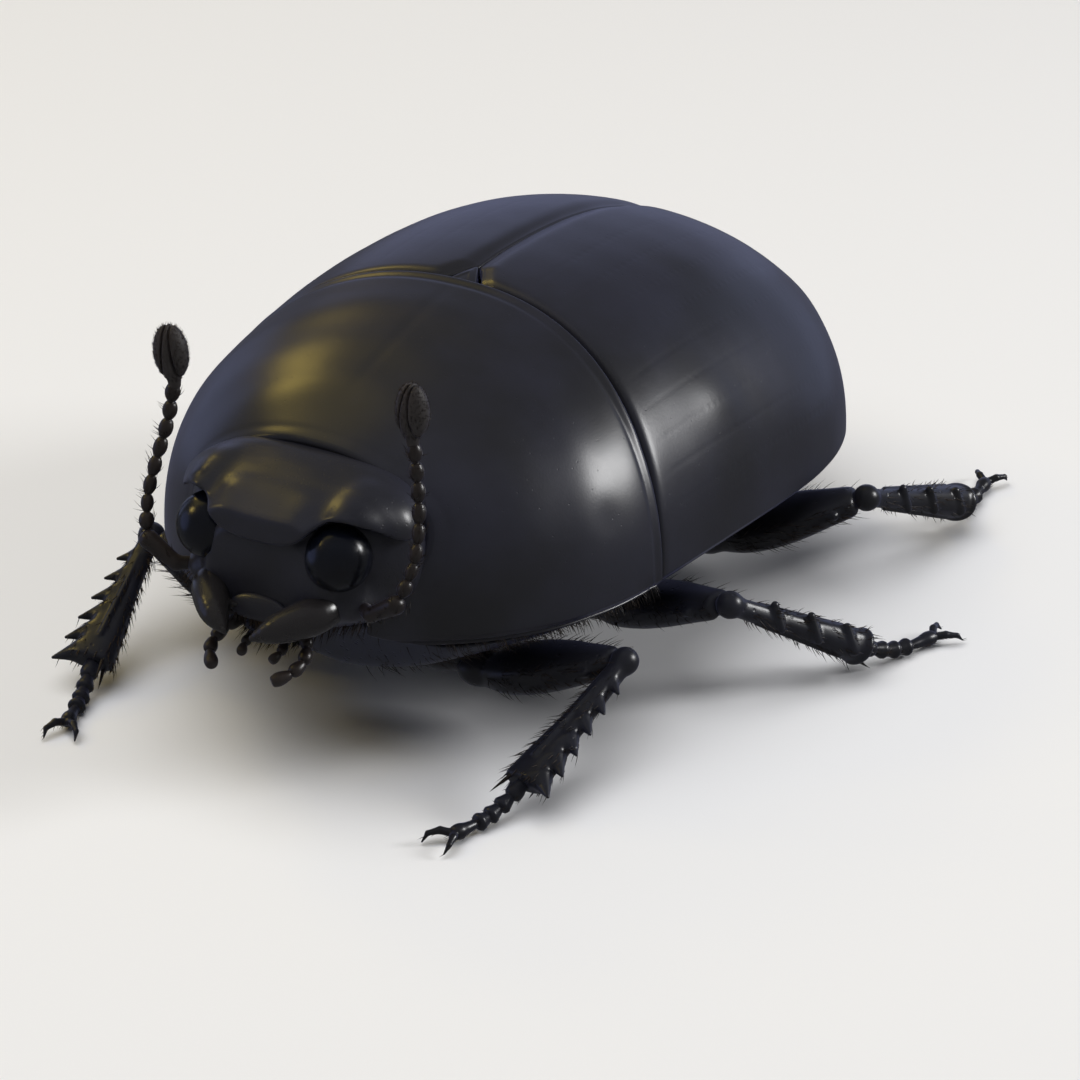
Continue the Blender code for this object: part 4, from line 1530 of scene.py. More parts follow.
@dataclass(frozen=True)
class Head:
    """The head: a broad capsule under a thick hood, which arches over each eye and juts over the mouth."""

    # From the neck to the mouth: how far ahead, half width, top and bottom.
    skull: tuple[tuple[float, float, float, float], ...] = (
        (6.3, 2.4, 6.20, 3.20),
        (7.0, 2.72, 6.42, 3.12),
        (7.5, 2.76, 6.48, 3.12),
        (8.0, 2.48, 6.42, 3.18),
        (8.4, 2.14, 6.28, 3.28),
        (8.8, 1.76, 6.05, 3.40),
        (9.1, 1.46, 5.85, 3.50),
        (9.6, 1.20, 5.60, 3.66),
    )
    # The hood that lies on it, in the same terms.
    cover: tuple[tuple[float, float, float, float], ...] = (
        (6.3, 2.20, 6.36, 4.60),
        (7.0, 2.36, 6.60, 4.46),
        (7.3, 2.46, 6.62, 4.42),
        (7.6, 2.53, 6.60, 4.40),
        (7.8, 2.52, 6.57, 4.40),
        (8.05, 2.40, 6.51, 4.44),
        (8.3, 2.20, 6.44, 4.48),
        (8.67, 1.88, 6.34, 4.60),
        (8.88, 1.66, 6.26, 4.70),
        (9.05, 1.48, 6.18, 4.80),
        (9.27, 1.24, 6.07, 4.90),
        (9.8, 1.00, 5.84, 5.06),
    )
    squareness: tuple[float, float] = (2.7, 2.3)  # over and under its middle
    face: Point = (0, -9.26, 4.6)  # on the steep face over the mouth
    prow: Point = (0, -9.44, 5.7)  # on the hood's front
    eye: Point = (1.54, -8.71, 5.27)
    eye_radius: float = 0.71
    eye_seat: float = 0.03  # how far the eye's surface covers the edge of its socket
    # The hood's lower edge: heights at distances from the middle.
    hood_edge: tuple[float, ...] = (5.54, 5.57, 5.70, 5.95, 6.14, 6.16, 5.96, 5.6, 5.3)
    hood_places: tuple[float, ...] = (0.0, 0.5, 0.92, 1.22, 1.5, 1.8, 2.2, 2.6, 3.0)
    hood_thickness: float = 0.08
    hood_soft: float = 0.14  # the rounding of its rim
    brow_place: float = 1.8  # how far the swelling over each eye lies from the middle
    brow_height: float = 0.18
    lobe_place: float = 0.85  # of the low swellings at the lobe's corners
    lobe_height: float = 0.05
    furrow_place: float = 1.34  # of the furrows between the lobe and the brows
    furrow_depth: float = 0.04
    dent: Point = (0.95, -7.75, 0.03)  # a shallow dent on each side: its place and its depth
    cheek: Point = (1.7, -8.4, 4.2)
    cheek_radii: Point = (0.5, 0.56, 0.4)
    chin: Point = (0, -8.35, 3.32)
    chin_radii: Point = (0.95, 0.8, 0.28)
    mouth: Point = (0, -9.3, 3.66)
    mouth_radii: Point = (0.86, 0.5, 0.34)
    feeler_socket: Point = (1.98, -8.55, 4.22)
    feeler_socket_radius: float = 0.15
    flatness: float = 0.85  # turns a share of a section's size into a distance that is never too long
    cell: float = 0.036

    def dome(self, sections: tuple[tuple[float, float, float, float], ...]) -> Form:
        """The solid through a row of cross-sections."""
        ahead, *rows = zip(*sections)
        width, top, bottom = (Curve(row, ahead) for row in rows)

        def distance(points: Array) -> Array:
            x, y, z = points.T
            high, low, half = top.at(-y), bottom.at(-y), width.at(-y)
            depth = (high - low) / 2
            rise = z - low - depth
            power = np.where(rise > 0, *self.squareness)
            size = rounded_size((x / half, rise / depth), power)
            return (size - 1) * np.minimum(half, depth) * self.flatness

        return Form(distance, np.asarray([-3.2, -9.9, 2.4]), np.asarray([3.2, -6.2, 7.2]))

    def hood(self) -> Form:
        """The thick plate over the skull: brows at the sides, and a lobe over the mouth."""
        edge = Curve(self.hood_edge, self.hood_places)

        def lift(points: Array) -> Array:
            x, y, z = left_side(points).T
            forward = smooth_step((-8.3 - y) / 0.8)
            above = z - edge.at(x)
            brow = self.brow_height * hill(x - self.brow_place, 0.5) * smooth_step((-7.4 - y) / 0.8)
            lobe = self.lobe_height * hill(x - self.lobe_place, 0.35) * forward
            furrow = self.furrow_depth * hill(x - self.furrow_place, 0.2) * forward
            dent_side, dent_ahead, dent_depth = self.dent
            dent = dent_depth * hill(np.hypot((x - dent_side) / 0.5, (y - dent_ahead) / 0.4), 1.0)
            return self.hood_thickness + brow * hill(above - 0.14, 0.3) + lobe - furrow - dent

        plate = self.dome(self.cover)
        low, high = plate.low - 0.4, plate.high + 0.4
        curtain = Form(lambda points: (edge.at(np.abs(points[:, 0])) - points[:, 2]) * 0.8, low, high)
        plate = Form(plate.distance, low, high).raised(lift)
        return plate.keep(Form.side_of(self.prow, (0, -1, 0.1)), 0.16).keep(curtain, self.hood_soft)

    def surface(self) -> Surface:
        """Builds the head, with its eye sockets and mouth."""
        form = self.dome(self.skull).keep(Form.side_of(self.face, (0, -1, -0.06)), 0.3)
        form = form.join(Form.ball(self.cheek, self.cheek_radii), 0.4)
        form = form.join(Form.ball(self.chin, self.chin_radii), 0.2)
        form = form.join(self.hood(), 0.05)
        form = Form(form.distance, np.asarray([0, -9.95, 2.5]), np.asarray([3.3, -6.2, 7.3]))
        form = form.cut(Form.ball(self.eye, self.eye_radius - self.eye_seat), 0.02)
        form = form.cut(Form.ball(self.feeler_socket, self.feeler_socket_radius), 0.05).both_sides()
        return form.cut(Form.ball(self.mouth, self.mouth_radii), 0.1).mesh(self.cell)

    def build(self, shop: Workshop) -> None:
        """Makes the head and its two eyes."""
        shell = self.surface()
        shop.place("head_shell", shell, Finish.HEAD, "shell", ["head"])
        shop.place("head_bristles", self.bristles(shell), Finish.BRISTLE, "feeler")
        shop.place_pair("eye_ball", self.eye_ball(), Finish.EYE, "eye", ["eye"])

    def bristles(self, shell: Surface) -> Surface:
        """Hairs of the chin, the mouth and the cheeks.

        Args:
            shell: The head that they grow on.

        Returns:
            The hairs.
        """
        chin = Roots.scattered(
            shell, 180, 11, lambda p, n: (n[:, 2] < -0.5) & (p[:, 1] < -7.6) & (p[:, 2] < 3.6)
        )
        mouth = Roots.scattered(
            shell, 220, 12, lambda p, n: (p[:, 1] < -8.6) & (p[:, 2] < 3.85) & (np.abs(p[:, 0]) < 0.8)
        )
        cheek = Roots.scattered(
            shell, 130, 13, lambda p, n: (np.abs(p[:, 0]) > 1.9) & (p[:, 2] < 4.2) & (np.abs(n[:, 0]) > 0.4)
        )
        ends = (0, -6.5, 4.3), (0, -9.6, 4.3)
        hairs = [
            Bristles(0.32, 0.011, 0.3).grow(chin, (0, -0.9, -0.3), *ends, seed=21),
            Bristles(0.26, 0.011, 0.2).grow(mouth, (0, -1, -0.15), *ends, seed=22, stand=0.4),
            Bristles(0.3, 0.010, 0.3).grow(cheek, (0, -0.5, -0.4), *ends, seed=23, stand=0.8),
        ]
        return Surface.joined(hairs)

    def eye_ball(self, rows: int = 72, columns: int = 120) -> Surface:
        """The left eye, a ball."""
        lift = np.linspace(0.02, math.pi - 0.02, rows)[:, None]
        turn = np.linspace(0, math.tau, columns, endpoint=False)[None]
        level = -np.cos(lift) * np.ones_like(turn)
        ball = np.stack([np.sin(lift) * np.cos(turn), level, np.sin(lift) * np.sin(turn)], -1)
        return Surface.loft(np.asarray(self.eye) + ball * self.eye_radius).facing_out()


@dataclass(frozen=True)
class Mouth:
    """The lip, the jaws, and the two pairs of palps."""

    jaw_stops: tuple[Point, ...] = (
        (1.44, -8.8, 4.14),
        (1.29, -9.14, 4.1),
        (1.06, -9.46, 4.03),
        (0.74, -9.82, 3.92),
        (0.35, -10.1, 3.75),
    )
    jaw_radii: tuple[float, ...] = (0.30, 0.38, 0.37, 0.29, 0.08)
    jaw_rods: int = 14
    # The small tooth on the jaw's inner side: from where to where, off the middle stop.
    tooth: tuple[Point, Point] = ((-0.2, -0.1, 0), (-0.56, 0.08, -0.04))
    tooth_radii: tuple[float, float] = (0.15, 0.05)
    lip: Point = (0, -9.33, 3.98)
    lip_radii: Point = (0.68, 0.3, 0.1)
    lip_tilt: float = math.radians(68)
    palp_stops: tuple[Point, ...] = (
        (0.72, -8.75, 3.42),
        (0.98, -9.05, 3.22),
        (1.1, -9.38, 3.06),
        (1.0, -9.7, 2.92),
        (0.72, -10.02, 2.8),
    )
    small_palp_stops: tuple[Point, ...] = (
        (0.28, -8.75, 3.28),
        (0.42, -9.0, 3.14),
        (0.44, -9.25, 3.04),
        (0.36, -9.5, 2.94),
    )
    palp_radii: tuple[float, float] = (0.135, 0.10)
    palp_swell: tuple[float, ...] = (0.62, 0.95, 1.1, 0.85)  # shares of it along each joint

    def jaw(self) -> Surface:
        """The left jaw: a curved tusk with a small inner tooth."""
        share = np.linspace(0, 1, self.jaw_rods)
        form = Form.chain(Curve(self.jaw_stops).at(share), Curve(self.jaw_radii).at(share), 0.05)
        root, tip = np.asarray(self.tooth) + self.jaw_stops[len(self.jaw_stops) // 2]
        return form.join(Form.rod(root, tip, *self.tooth_radii), 0.14).mesh(0.024)

    def lip_plate(self) -> Surface:
        """The lip: a thin plate across the foot of the face."""
        forward = np.asarray((0, -math.cos(self.lip_tilt), -math.sin(self.lip_tilt)))
        turn = np.stack([(1, 0, 0), forward, np.cross((1, 0, 0), forward)])
        form = Form.ball(self.lip, self.lip_radii, turn)
        front = np.asarray(self.lip) + forward * (self.lip_radii[1] * 0.8)
        return form.keep(Form.side_of(front, forward), 0.08).mesh(0.02)

    def palp(self) -> Surface:
        """The left palps, each of several spindles."""
        form = None
        for stops, thick in zip((self.palp_stops, self.small_palp_stops), self.palp_radii):
            for start, end in pairwise(stops):
                part = Form.spindle(start, end, (0, 0.2, 1), thick, self.palp_swell)
                form = part if form is None else form.join(part, 0.02)
        return form.mesh(0.022)

    def build(self, shop: Workshop) -> None:
        """Makes the mouth's pieces."""
        lip = self.lip_plate()
        shop.place("lip_plate", lip, Finish.HEAD, "jaw", ["labrum"])
        fringe = Roots.scattered(lip, 90, 31, self.is_fringe)
        ends = (-1, -9.3, 4), (1, -9.3, 4)
        hairs = Bristles(0.2, 0.011, 0.12).grow(fringe, (0, -0.3, -1), *ends, seed=32)
        shop.place("lip_bristles", hairs, Finish.BRISTLE, "jaw")
        shop.place_pair("jaw_tusk", self.jaw(), Finish.JAW, "jaw", ["mandible"])
        shop.place_pair("palp_joints", self.palp(), Finish.FEELER, "feeler", ["palp"])

    def is_fringe(self, points: Array, normals: Array) -> Array:
        """Whether hair grows at points of the lip: along its lower edge."""
        return (points[:, 2] < self.lip[2] - 0.12) & (normals[:, 2] < -0.1)


@dataclass(frozen=True)
class Feeler:
    """An antenna: a long first joint, a row of small ones, and a club of three leaves."""

    first: tuple[Point, ...] = ((1.74, -8.42, 4.22), (2.36, -8.8, 4.22), (2.98, -8.86, 4.62))
    first_radii: tuple[float, ...] = (0.12, 0.16, 0.21)
    run: tuple[Point, ...] = (
        (3.08, -8.8, 4.8),
        (3.22, -8.5, 5.45),
        (3.16, -8.2, 6.2),
        (3.0, -7.98, 7.0),
        (2.88, -7.92, 7.8),
    )
    joints: int = 8
    joint_radius: float = 0.14
    joint_swell: tuple[float, ...] = (0.5, 0.95, 1, 0.7)  # shares of it along each joint
    end_joints: float = 1.12  # how thick the first and the last joint are, against the radius
    club_root: Point = (2.86, -7.92, 7.9)
    club_tip: Point = (2.92, -8.0, 9.15)
    club_half: tuple[float, float] = (0.37, 0.31)
    club_core: Point = (0.86, 0.74, 0.74)  # the unslotted core's size as shares of the club's
    leaf: float = 0.30  # from the middle to a gap, as a share of the club's half width
    slot: float = 0.02  # half the gap between leaves

    def stem(self) -> Surface:
        """The joints up to the club."""
        form = Form.chain(self.first, self.first_radii, 0.08)
        line = Curve(self.run)
        marks = line.at(np.linspace(0, 1, self.joints + 1))
        for number, (start, end) in enumerate(pairwise(marks)):
            share = self.end_joints if number in (0, self.joints - 1) else 0.92 + 0.03 * number
            joint = Form.spindle(start, end, (0, 1, 0), self.joint_radius * share, self.joint_swell)
            form = form.join(joint, 0.02)
        return form.mesh(0.022)

    def club(self) -> Surface:
        """The club of three leaves."""
        root, tip = np.asarray(self.club_root), np.asarray(self.club_tip)
        axis, side, normal = limb_axes(root, tip, (0.2, 1, 0))
        middle = (root + tip) / 2
        radii = np.asarray((np.linalg.norm(tip - root) / 2, *self.club_half))
        turns = np.stack([axis, side, normal])
        form = Form.ball(middle, radii, turns)
        core = Form.ball(middle, radii * self.club_core, turns)
        for turn in (-1, 1):
            place = middle + side * (turn * self.leaf * self.club_half[0])
            tilt = unit(side + axis * (0.10 * turn))
            slab = Form.side_of(place + tilt * self.slot, tilt)
            slab = slab.keep(Form.side_of(place - tilt * self.slot, -tilt))
            form = form.cut(slab.cut(core, 0.05), 0.06)
        return form.join(Form.rod(root - axis * 0.1, root + axis * 0.35, 0.13, 0.2), 0.08).mesh(0.024)

    def build(self, shop: Workshop) -> None:
        """Makes both antennae."""
        stem, club = self.stem(), self.club()
        shop.place_pair("feeler_stem", stem, Finish.FEELER, "feeler", ["antenna"])
        shop.place_pair("feeler_club", club, Finish.CLUB, "feeler", ["antenna_club"])
        sparse = Roots.scattered(stem, 110, 41, lambda p, n: p[:, 0] > 2.3)
        down = Roots.scattered(club, 900, 42, lambda p, n: p[:, 2] > self.club_root[2])
        ends = self.first[0], self.run[-1]
        leaf = self.club_root, self.club_tip
        hairs = [
            Bristles(0.2, 0.009, 0.3).grow(sparse, (0.2, -0.2, 0.6), *ends, seed=43, stand=0.9),
            Bristles(0.06, 0.006, 0.3, rings=2).grow(down, (0, 0, 1), *leaf, seed=44),
        ]
        shop.place_pair("feeler_bristles", Surface.joined(hairs), Finish.BRISTLE, "feeler")


# The legs.


@dataclass(frozen=True)
class Leg:
    """A pair of legs. Points are for the left one; sizes are half sizes across and through."""

    name: str
    coxa: Point
    coxa_radii: Point
    hip: Point
    knee: Point
    ankle: Point
    toe: Point
    thigh: tuple[float, float]
    shin: tuple[float, float]  # at its broad end
    teeth: int  # large ones along the outer edge of the shin
    combs: int  # rows of spines across the shin's outer face
    outward: Point = (1, 0, 0.25)  # where the shin's outer edge points
    # Half sizes along the thigh and the foot's joints, as shares of the full ones.
    thigh_across: tuple[float, ...] = (0.46, 0.86, 1, 0.93, 0.7, 0.46)
    thigh_through: tuple[float, ...] = (0.6, 0.92, 1, 0.92, 0.75, 0.6)
    joint_swell: tuple[float, ...] = (0.62, 0.78, 0.95, 1.12, 0.98)
    last_joint_swell: tuple[float, ...] = (0.55, 0.72, 0.85, 1.1, 1)
    joint_radius: float = 0.175
    last_joint_radius: float = 0.15
    joint_marks: tuple[float, ...] = (0, 0.24, 0.4, 0.55, 0.7, 1)  # the joints' ends along the foot
    foot_height: float = 0.27  # of the foot's middle
    root_radii: Point = (0.5, 0.5, 0.42)  # of the knob at the thigh's root
    knee_radius: float = 0.3
    tooth_length: float = 0.46
    tooth_radius: float = 0.2
    comb_radius: float = 0.085
    # Along a claw: how far ahead, how far out and how high.
    claw: tuple[Point, ...] = ((0, 0, 0), (0.2, 0.2, 0.07), (0.42, 0.33, 0.03), (0.58, 0.34, -0.13))
    claw_radii: tuple[float, ...] = (0.09, 0.08, 0.055, 0.015)
    cell: float = 0.032

    def shin_axes(self) -> tuple[Array, Array, Array]:
        """Unit vectors along the shin, towards its outer edge, and out of its broad face."""
        axis = unit(np.asarray(self.ankle) - self.knee)
        outer = unit(np.asarray(self.outward) - axis * (axis @ np.asarray(self.outward, float)))
        return axis, outer, np.cross(axis, outer)

    def femur(self) -> Surface:
        """The thigh: a flattened spindle with a keel, and a slot under the knee for the shin."""
        hip, knee = np.asarray(self.hip), np.asarray(self.knee)
        axis, side, normal = limb_axes(hip, knee, (0, 0, 1))
        broad, thick = self.thigh
        across = Curve([share * broad for share in self.thigh_across])
        through = Curve([share * thick for share in self.thigh_through])
        form = Form.limb(hip, knee - axis * 0.2, (0, 0, 1), across, through, 2.3)
        root = hip + (np.asarray(self.coxa) - hip) * 0.12
        form = form.join(Form.ball(root, self.root_radii), 0.16)
        keel_start = hip + axis * 0.5 + side * (broad * 0.62)
        keel_end = hip + axis * (np.linalg.norm(knee - hip) * 0.8) + side * (broad * 0.66)
        form = form.join(Form.rod(keel_start, keel_end, 0.1, 0.08), 0.12)
        slot_end = knee - axis * 1.1 - normal * (thick + 0.1)
        form = form.cut(Form.rod(knee - normal * (thick * 0.55), slot_end, 0.2, 0.1), 0.12)
        return form.mesh(self.cell)

    def tibia(self) -> Surface:
        """The shin, which broadens to the ankle."""
        axis, outer, flat = self.shin_axes()
        knee, ankle = np.asarray(self.knee), np.asarray(self.ankle)
        broad, thick = self.shin
        length = float(np.linalg.norm(ankle - knee))
        across = Curve([0.20, 0.24, 0.62 * broad, 0.82 * broad, broad])
        through = Curve([0.20, 0.22, 0.68 * thick, 0.88 * thick, thick])
        start = knee + axis * 0.05
        form = Form.limb(start, ankle + axis * 0.1, flat, across, through, 2.6)
        form = form.join(Form.ball(knee, self.knee_radius), 0.16)
        for number in range(self.teeth):
            share = (number + 1.4) / (self.teeth + 0.4)
            size = 0.4 + 0.6 * share
            root = knee + axis * (length * share - 0.12) + outer * (float(across.at(share)) * 0.72)
            lean = unit(outer + axis * (0.35 + 0.25 * share))
            tip = root + lean * (self.tooth_length * size + 0.08) + axis * 0.06
            form = form.join(Form.rod(root, tip, self.tooth_radius * size + 0.03, 0.035), 0.12)
        for turn in (-1, 1):
            first = start + axis * 0.7 + flat * (turn * 0.62 * thick)
            last = ankle - axis * 0.5 + flat * (turn * 0.9 * thick)
            form = form.join(Form.rod(first, last, 0.03, 0.06), 0.1)
        for number in range(self.combs):
            form = form.join(Form.rod(*self.comb_ends(number), self.comb_radius), 0.14)
        if self.combs:
            crown_radii = (0.16, broad * 1.12, thick * 1.14)
            form = form.join(Form.ball(ankle, crown_radii, np.stack([axis, outer, flat])), 0.12)
        return form.mesh(self.cell)

    def comb_ends(self, number: int) -> tuple[Array, Array]:
        """The ends of one slanting ridge across the shin's outer face."""
        axis, outer, flat = self.shin_axes()
        share = (number + 1.2) / (self.combs + 0.7)
        length = float(np.linalg.norm(np.asarray(self.ankle) - self.knee))
        middle = np.asarray(self.knee) + axis * (length * share)
        middle = middle + outer * (self.shin[0] * (0.36 + 0.5 * share))
        slant = flat * (0.62 * self.shin[1]) + axis * 0.16 - outer * 0.03
        return middle - slant, middle + slant

    def thorns(self) -> Surface:
        """The stout spines of the shin and the foot."""
        axis, _, _ = self.shin_axes()
        short = Bristles(0.2, 0.026, 0.06, 0.15, sides=6, rings=3)
        long = Bristles(0.62, 0.055, 0.02, 0.1, sides=8, rings=5)
        tiny = Bristles(0.15, 0.016, 0.05, 0.1, sides=5, rings=2)
        kinds = [
            short.grow(self.shin_spines(), axis, self.knee, self.ankle, seed=61, stand=1.6),
            long.grow(self.spurs(), axis, self.knee, self.ankle, seed=62, stand=1.6),
            tiny.grow(self.foot_spines(), (0, 0, 0.05), self.ankle, self.toe, seed=63),
        ]
        return Surface.joined(kinds)

    def shin_spines(self) -> Roots:
        """The shin's spines: on the combs, in a crown round the ankle, and along the inner edge."""
        axis, outer, flat = self.shin_axes()
        knee, ankle = np.asarray(self.knee), np.asarray(self.ankle)
        broad, thick = self.shin
        points, ways = [], []
        for number in range(self.combs):
            first, last = self.comb_ends(number)
            for share in np.linspace(-0.05, 1.05, 7):
                points.append(first + (last - first) * share + outer * 0.04)
                ways.append(outer * 0.6 + axis)
        for angle in np.linspace(0, math.tau, 15)[:-1]:
            out = outer * (math.cos(angle) * broad) + flat * (math.sin(angle) * thick)
            points.append(ankle + out * 0.95)
            ways.append(axis + out * 0.5)
        for share in np.linspace(0.25, 0.9, 9):
            points.append(knee + (ankle - knee) * share - outer * (broad * (0.45 + 0.45 * share)))
            ways.append(axis - outer * 0.7)
        return Roots.listed(points, ways)

    def spurs(self) -> Roots:
        """The two spurs at the shin's inner end."""
        axis, outer, flat = self.shin_axes()
        broad, thick = self.shin
        ankle = np.asarray(self.ankle)
        points = [ankle + flat * (turn * 0.55 * thick) - outer * (0.5 * broad) for turn in (-1, 1)]
        ways = [axis - outer * 0.25 + flat * (0.25 * turn) for turn in (-1, 1)]
        return Roots.listed(points, ways)

    def foot_spines(self) -> Roots:
        """The spines at the end of each of the foot's joints but the last."""
        points, ways = [], []
        for start, end in pairwise(self.tarsus_line()[:-1]):
            run = unit(end - start)
            side = unit(np.cross(run, (0, 0, 1.0)))
            for angle in np.radians((-75, -40, 40, 75)):
                out = side * math.sin(angle) - np.cross(side, run) * math.cos(angle) * 0.3
                points.append(end - run * 0.07 + out * 0.14)
                ways.append(run + out * 0.6)
        return Roots.listed(points, ways)

    def bristles(self, thigh: Surface, shin: Surface, foot: Surface) -> Surface:
        """The fringes of hair.

        Args:
            thigh: The thigh that they grow on.
            shin: The shin.
            foot: The foot.

        Returns:
            The hairs.
        """
        hip, knee, ankle = (np.asarray(point, float) for point in (self.hip, self.knee, self.ankle))
        run, side, _ = limb_axes(hip, knee, (0, 0, 1))
        axis, outer, _ = self.shin_axes()

        def beyond_hip(p: Array, n: Array) -> Array:
            return (np.abs(n @ side) > 0.75) & ((p - hip) @ run > 0.3)

        inner = Roots.scattered(shin, 130, 72, lambda p, n: (n @ outer < -0.35) & ((p - knee) @ axis > 0.4))
        face = Roots.scattered(shin, 70, 73, lambda p, n: (n @ outer > 0.2) & ((p - knee) @ axis > 0.4))
        sole = Roots.scattered(foot, 110, 74, lambda p, n: (n[:, 2] < 0.2) & (p[:, 2] > 0.08))
        edge = Roots.scattered(thigh, 170, 71, beyond_hip)
        forward = unit(np.asarray(self.toe) - ankle) + (0, 0, 0.2)
        hairs = [
            Bristles(0.36, 0.011, 0.22).grow(edge, run, hip, knee, seed=75, stand=0.9),
            Bristles(0.28, 0.012, 0.2).grow(inner, axis, knee, ankle, seed=76, stand=0.8),
            Bristles(0.24, 0.012, 0.2).grow(face, axis, knee, ankle, seed=77, stand=0.6),
            Bristles(0.12, 0.009, 0.15).grow(sole, forward, ankle, self.toe, seed=78, stand=0.3),
        ]
        return Surface.joined(hairs)

    def tarsus_line(self) -> Array:
        """Points between the tarsus's joints, from the ankle to the claws."""
        axis, _, _ = self.shin_axes()
        start = np.asarray(self.ankle) - axis * 0.05
        toe = np.asarray(self.toe, float)
        middle = (start + toe) / 2
        middle[2] = self.foot_height
        second = start + (middle - start) * 0.5
        second[2] = (start[2] + middle[2]) / 2 - 0.04
        line = Curve([start, second, middle, toe], [0, 0.27, 0.52, 1])
        return line.at(np.asarray(self.joint_marks))

    def tarsus(self) -> Surface:
        """The foot: five joints, each flaring to its end, and two claws."""
        form = None
        joints = [*pairwise(self.tarsus_line())]
        for number, (start, end) in enumerate(joints, 1):
            thick, swell = self.joint_radius, self.joint_swell
            if number == len(joints):
                thick, swell = self.last_joint_radius, self.last_joint_swell
            part = Form.spindle(start - (end - start) * 0.06, end, (0, 0, 1), thick, swell)
            form = part if form is None else form.join(part, 0.04)
        start, end = joints[-1]
        run = unit((end - start) * (1, 1, 0))
        side = np.cross(run, (0, 0, 1.0))
        root = end - run * 0.02
        for turn in (-1, 1):
            stops = [root + run * far + side * (turn * out) + (0, 0, up) for far, out, up in self.claw]
            form = form.join(Form.chain(stops, self.claw_radii, 0.04), 0.03)
        return form.mesh(0.024)

    def build(self, shop: Workshop) -> None:
        """Makes the joints of both legs, with their spines and hairs."""
        hip = Form.ball(self.coxa, self.coxa_radii).mesh(0.05)
        thigh, shin, foot = self.femur(), self.tibia(), self.tarsus()
        surfaces = {"hip": hip, "thigh": thigh, "shin": shin, "foot": foot}
        for (piece, surface), node in zip(surfaces.items(), ("coxa", "femur", "tibia", "tarsus")):
            shop.place_pair(f"{self.name}_{piece}", surface, Finish.LEG, "leg", [f"{self.name}_{node}"])
        shop.place_pair(f"{self.name}_thorns", self.thorns(), Finish.SPINE, "leg")
        shop.place_pair(f"{self.name}_bristles", self.bristles(thigh, shin, foot), Finish.BRISTLE, "leg")


LEGS = (
    Leg(
        "front",
        coxa=(1.5, -4.6, 1.75),
        coxa_radii=(0.95, 0.75, 0.85),
        hip=(2.6, -4.7, 1.15),
        knee=(5.9, -4.6, 2.2),
        ankle=(5.35, -7.75, 0.72),
        toe=(4.75, -9.6, 0.22),
        thigh=(0.78, 0.5),
        shin=(0.5, 0.3),
        teeth=6,
        combs=0,
    ),
    Leg(
        "middle",
        coxa=(2.0, -0.45, 1.6),
        coxa_radii=(0.85, 0.7, 0.75),
        hip=(3.05, -0.55, 1.05),
        knee=(6.7, -1.5, 2.35),
        ankle=(8.5, 1.0, 0.72),
        toe=(9.3, 3.1, 0.22),
        thigh=(0.78, 0.48),
        shin=(0.46, 0.36),
        teeth=0,
        combs=3,
    ),
    Leg(
        "hind",
        coxa=(2.5, 3.05, 1.5),
        coxa_radii=(1.35, 0.55, 0.65),
        hip=(3.6, 3.7, 0.98),
        knee=(6.7, 4.9, 2.2),
        ankle=(7.2, 8.5, 0.72),
        toe=(6.9, 10.75, 0.22),
        thigh=(0.85, 0.48),
        shin=(0.48, 0.38),
        teeth=0,
        combs=3,
    ),
)


# The studio.


@dataclass(frozen=True)
class Lamp:
    """A soft lamp that faces the beetle."""

    name: str
    towards: Point  # from the beetle to the lamp
    size: float  # its side, in millimetres
    glow: float  # brightness of its face
    colour: Point = (1, 1, 1)
    shine: bool = True  # whether it is mirrored in glossy surfaces
    distance: float = 150.0

    def build(self, target: Point) -> None:
        """Hangs the lamp so that it faces a point, given in millimetres."""
        light = bpy.data.lights.new(self.name, "AREA")
        light.shape = "DISK"
        light.size = self.size * MM
        light.energy = self.glow * math.pi * math.pi * (self.size * MM / 2) ** 2
        light.color = self.colour
        lamp = bpy.data.objects.new(self.name, light)
        lamp.visible_glossy = self.shine
        aim(lamp, np.asarray(target) + unit(self.towards) * self.distance, target)


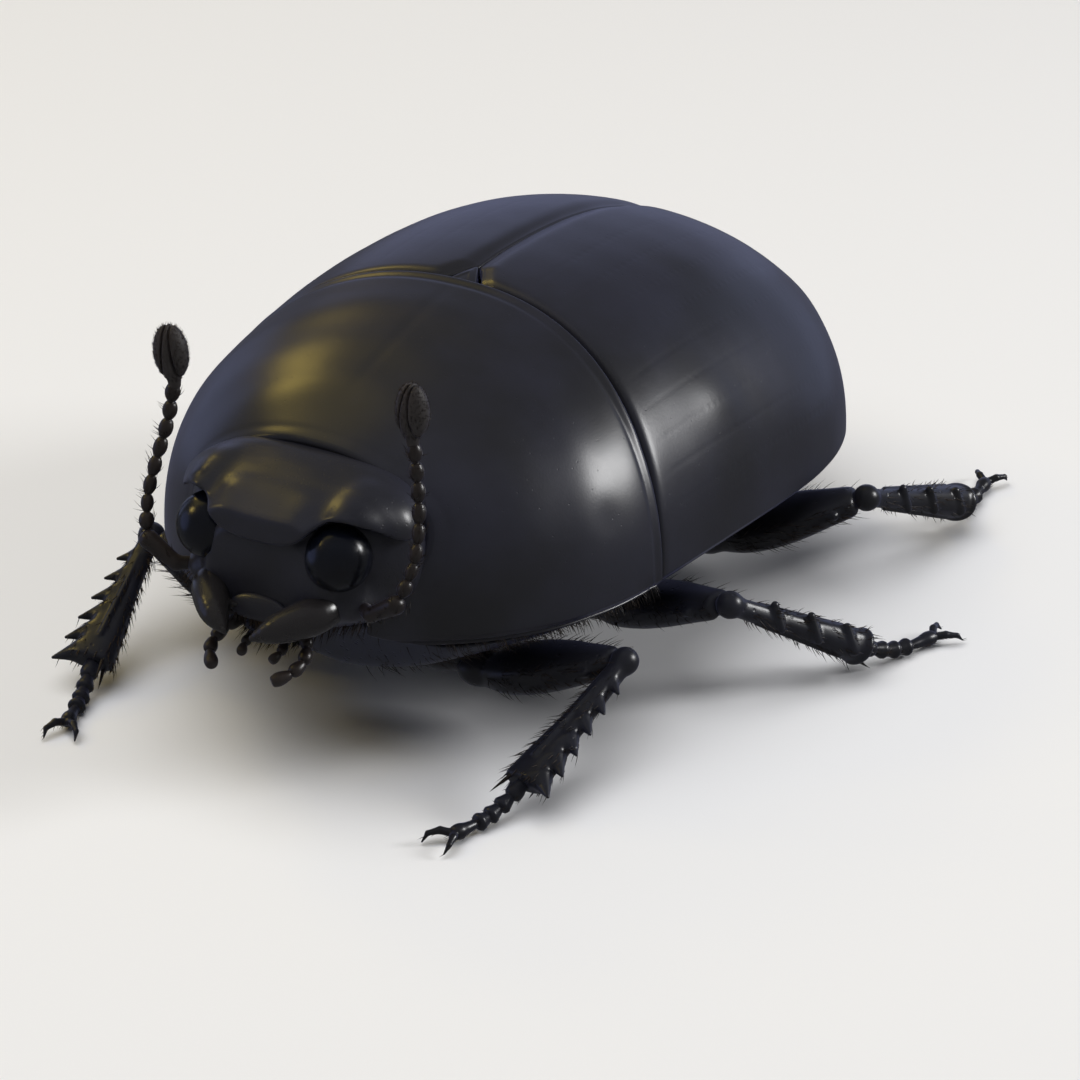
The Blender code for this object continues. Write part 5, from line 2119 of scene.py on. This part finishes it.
@dataclass(frozen=True)
class Studio:
    """A pale floor, a few soft lamps and the camera."""

    floor_half: float = 450.0
    room_glow: float = 0.075
    room_colour: Point = (0.95, 0.96, 1.0)
    target: Point = (-0.727, 2.77, 0.0)
    towards: Point = (49.597, -85.45, 48.45)  # from the target to the camera
    step_back: float = 1.028
    lens: float = 165.9
    sensor: float = 36.0
    lamps: tuple[Lamp, ...] = (
        Lamp("key", (0.775, 0.48, 0.41), 50, 17.0),
        Lamp("gold", (-0.72, 0.36, 0.59), 34, 4.4, (1.0, 0.74, 0.16)),
        Lamp("gold_front", (-0.72, -0.33, 0.61), 30, 6.0, (1.0, 0.76, 0.22)),
        Lamp("olive", (-0.55, 0.10, 0.83), 100, 0.3, (1.0, 0.78, 0.15)),
        Lamp("rim", (-0.42, 0.89, 0.17), 110, 0.3, (0.5, 0.58, 1.0)),
        Lamp("rim_right", (0.2, 0.97, 0.1), 110, 0.3, (0.5, 0.6, 1.0)),
        Lamp("rim_left", (-0.92, 0.38, 0.08), 90, 0.3, (0.45, 0.55, 1.0)),
        Lamp("cool", (-0.85, -0.40, 0.08), 110, 0.3, (0.35, 0.45, 1.0)),
        Lamp("fill", (-0.1, -0.2, 0.97), 200, 2.4, (1, 1, 1), False),
    )

    def build(self, shop: Workshop) -> None:
        """Lays the floor, hangs the lamps, lights the room and sets the camera."""
        half = self.floor_half
        corners = np.asarray([(-half, -half, 0), (half, -half, 0), (half, half, 0), (-half, half, 0)], float)
        mesh = bpy.data.meshes.new("floor")
        mesh.from_pydata((corners * MM).tolist(), [], [(0, 1, 2, 3)])
        mesh.materials.append(shop.finish(Finish.FLOOR))
        floor = bpy.data.objects.new("floor", mesh)
        bpy.context.scene.collection.objects.link(floor)
        floor.visible_glossy = False
        for lamp in self.lamps:
            lamp.build((0, 0, 4))
        scene = bpy.context.scene
        scene.world = bpy.data.worlds.new("room")
        scene.world.use_nodes = True
        room = scene.world.node_tree.nodes["Background"]
        room.inputs["Color"].default_value = (*self.room_colour, 1)
        room.inputs["Strength"].default_value = self.room_glow
        scene.view_settings.view_transform = "Standard"
        self.set_camera()
        LOG.info("studio: %d lamps", len(self.lamps))

    def set_camera(self) -> None:
        """Sets the camera, level and aimed at its target."""
        lens = bpy.data.cameras.new("camera")
        lens.lens = self.lens
        lens.sensor_width = self.sensor
        lens.clip_start = 5 * MM
        camera = bpy.data.objects.new("camera", lens)
        aim(camera, np.asarray(self.target) + np.asarray(self.towards) * self.step_back, self.target)
        bpy.context.scene.camera = camera


def aim(thing: bpy.types.Object, place: Point, target: Point) -> None:
    """Puts a lamp or camera at a place, in millimetres, and turns it to a target."""
    run = Vector((np.asarray(target) - place).tolist())
    thing.location = Vector(np.asarray(place).tolist()) * MM
    thing.rotation_mode = "QUATERNION"
    thing.rotation_quaternion = run.to_track_quat("-Z", "Y")
    bpy.context.scene.collection.objects.link(thing)


def main() -> None:
    """Builds the beetle and its studio."""
    skin = Skin()
    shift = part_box("elytron_left")[1][1] / MM - (skin.tail - 0.04)
    shop = Workshop((0, shift, 0))
    LOG.info("own frame lies %.3f mm along", shift)
    shells = (Collar(skin), WingCases(skin), ScutellumShield(skin), Trunk(skin))
    for part in (*shells, Head(), Mouth(), Feeler(), *LEGS):
        part.build(shop)
    Studio().build(shop)


if __name__ == "__main__":
    logging.basicConfig(level=logging.INFO, format="%(name)s: %(message)s")
    main()
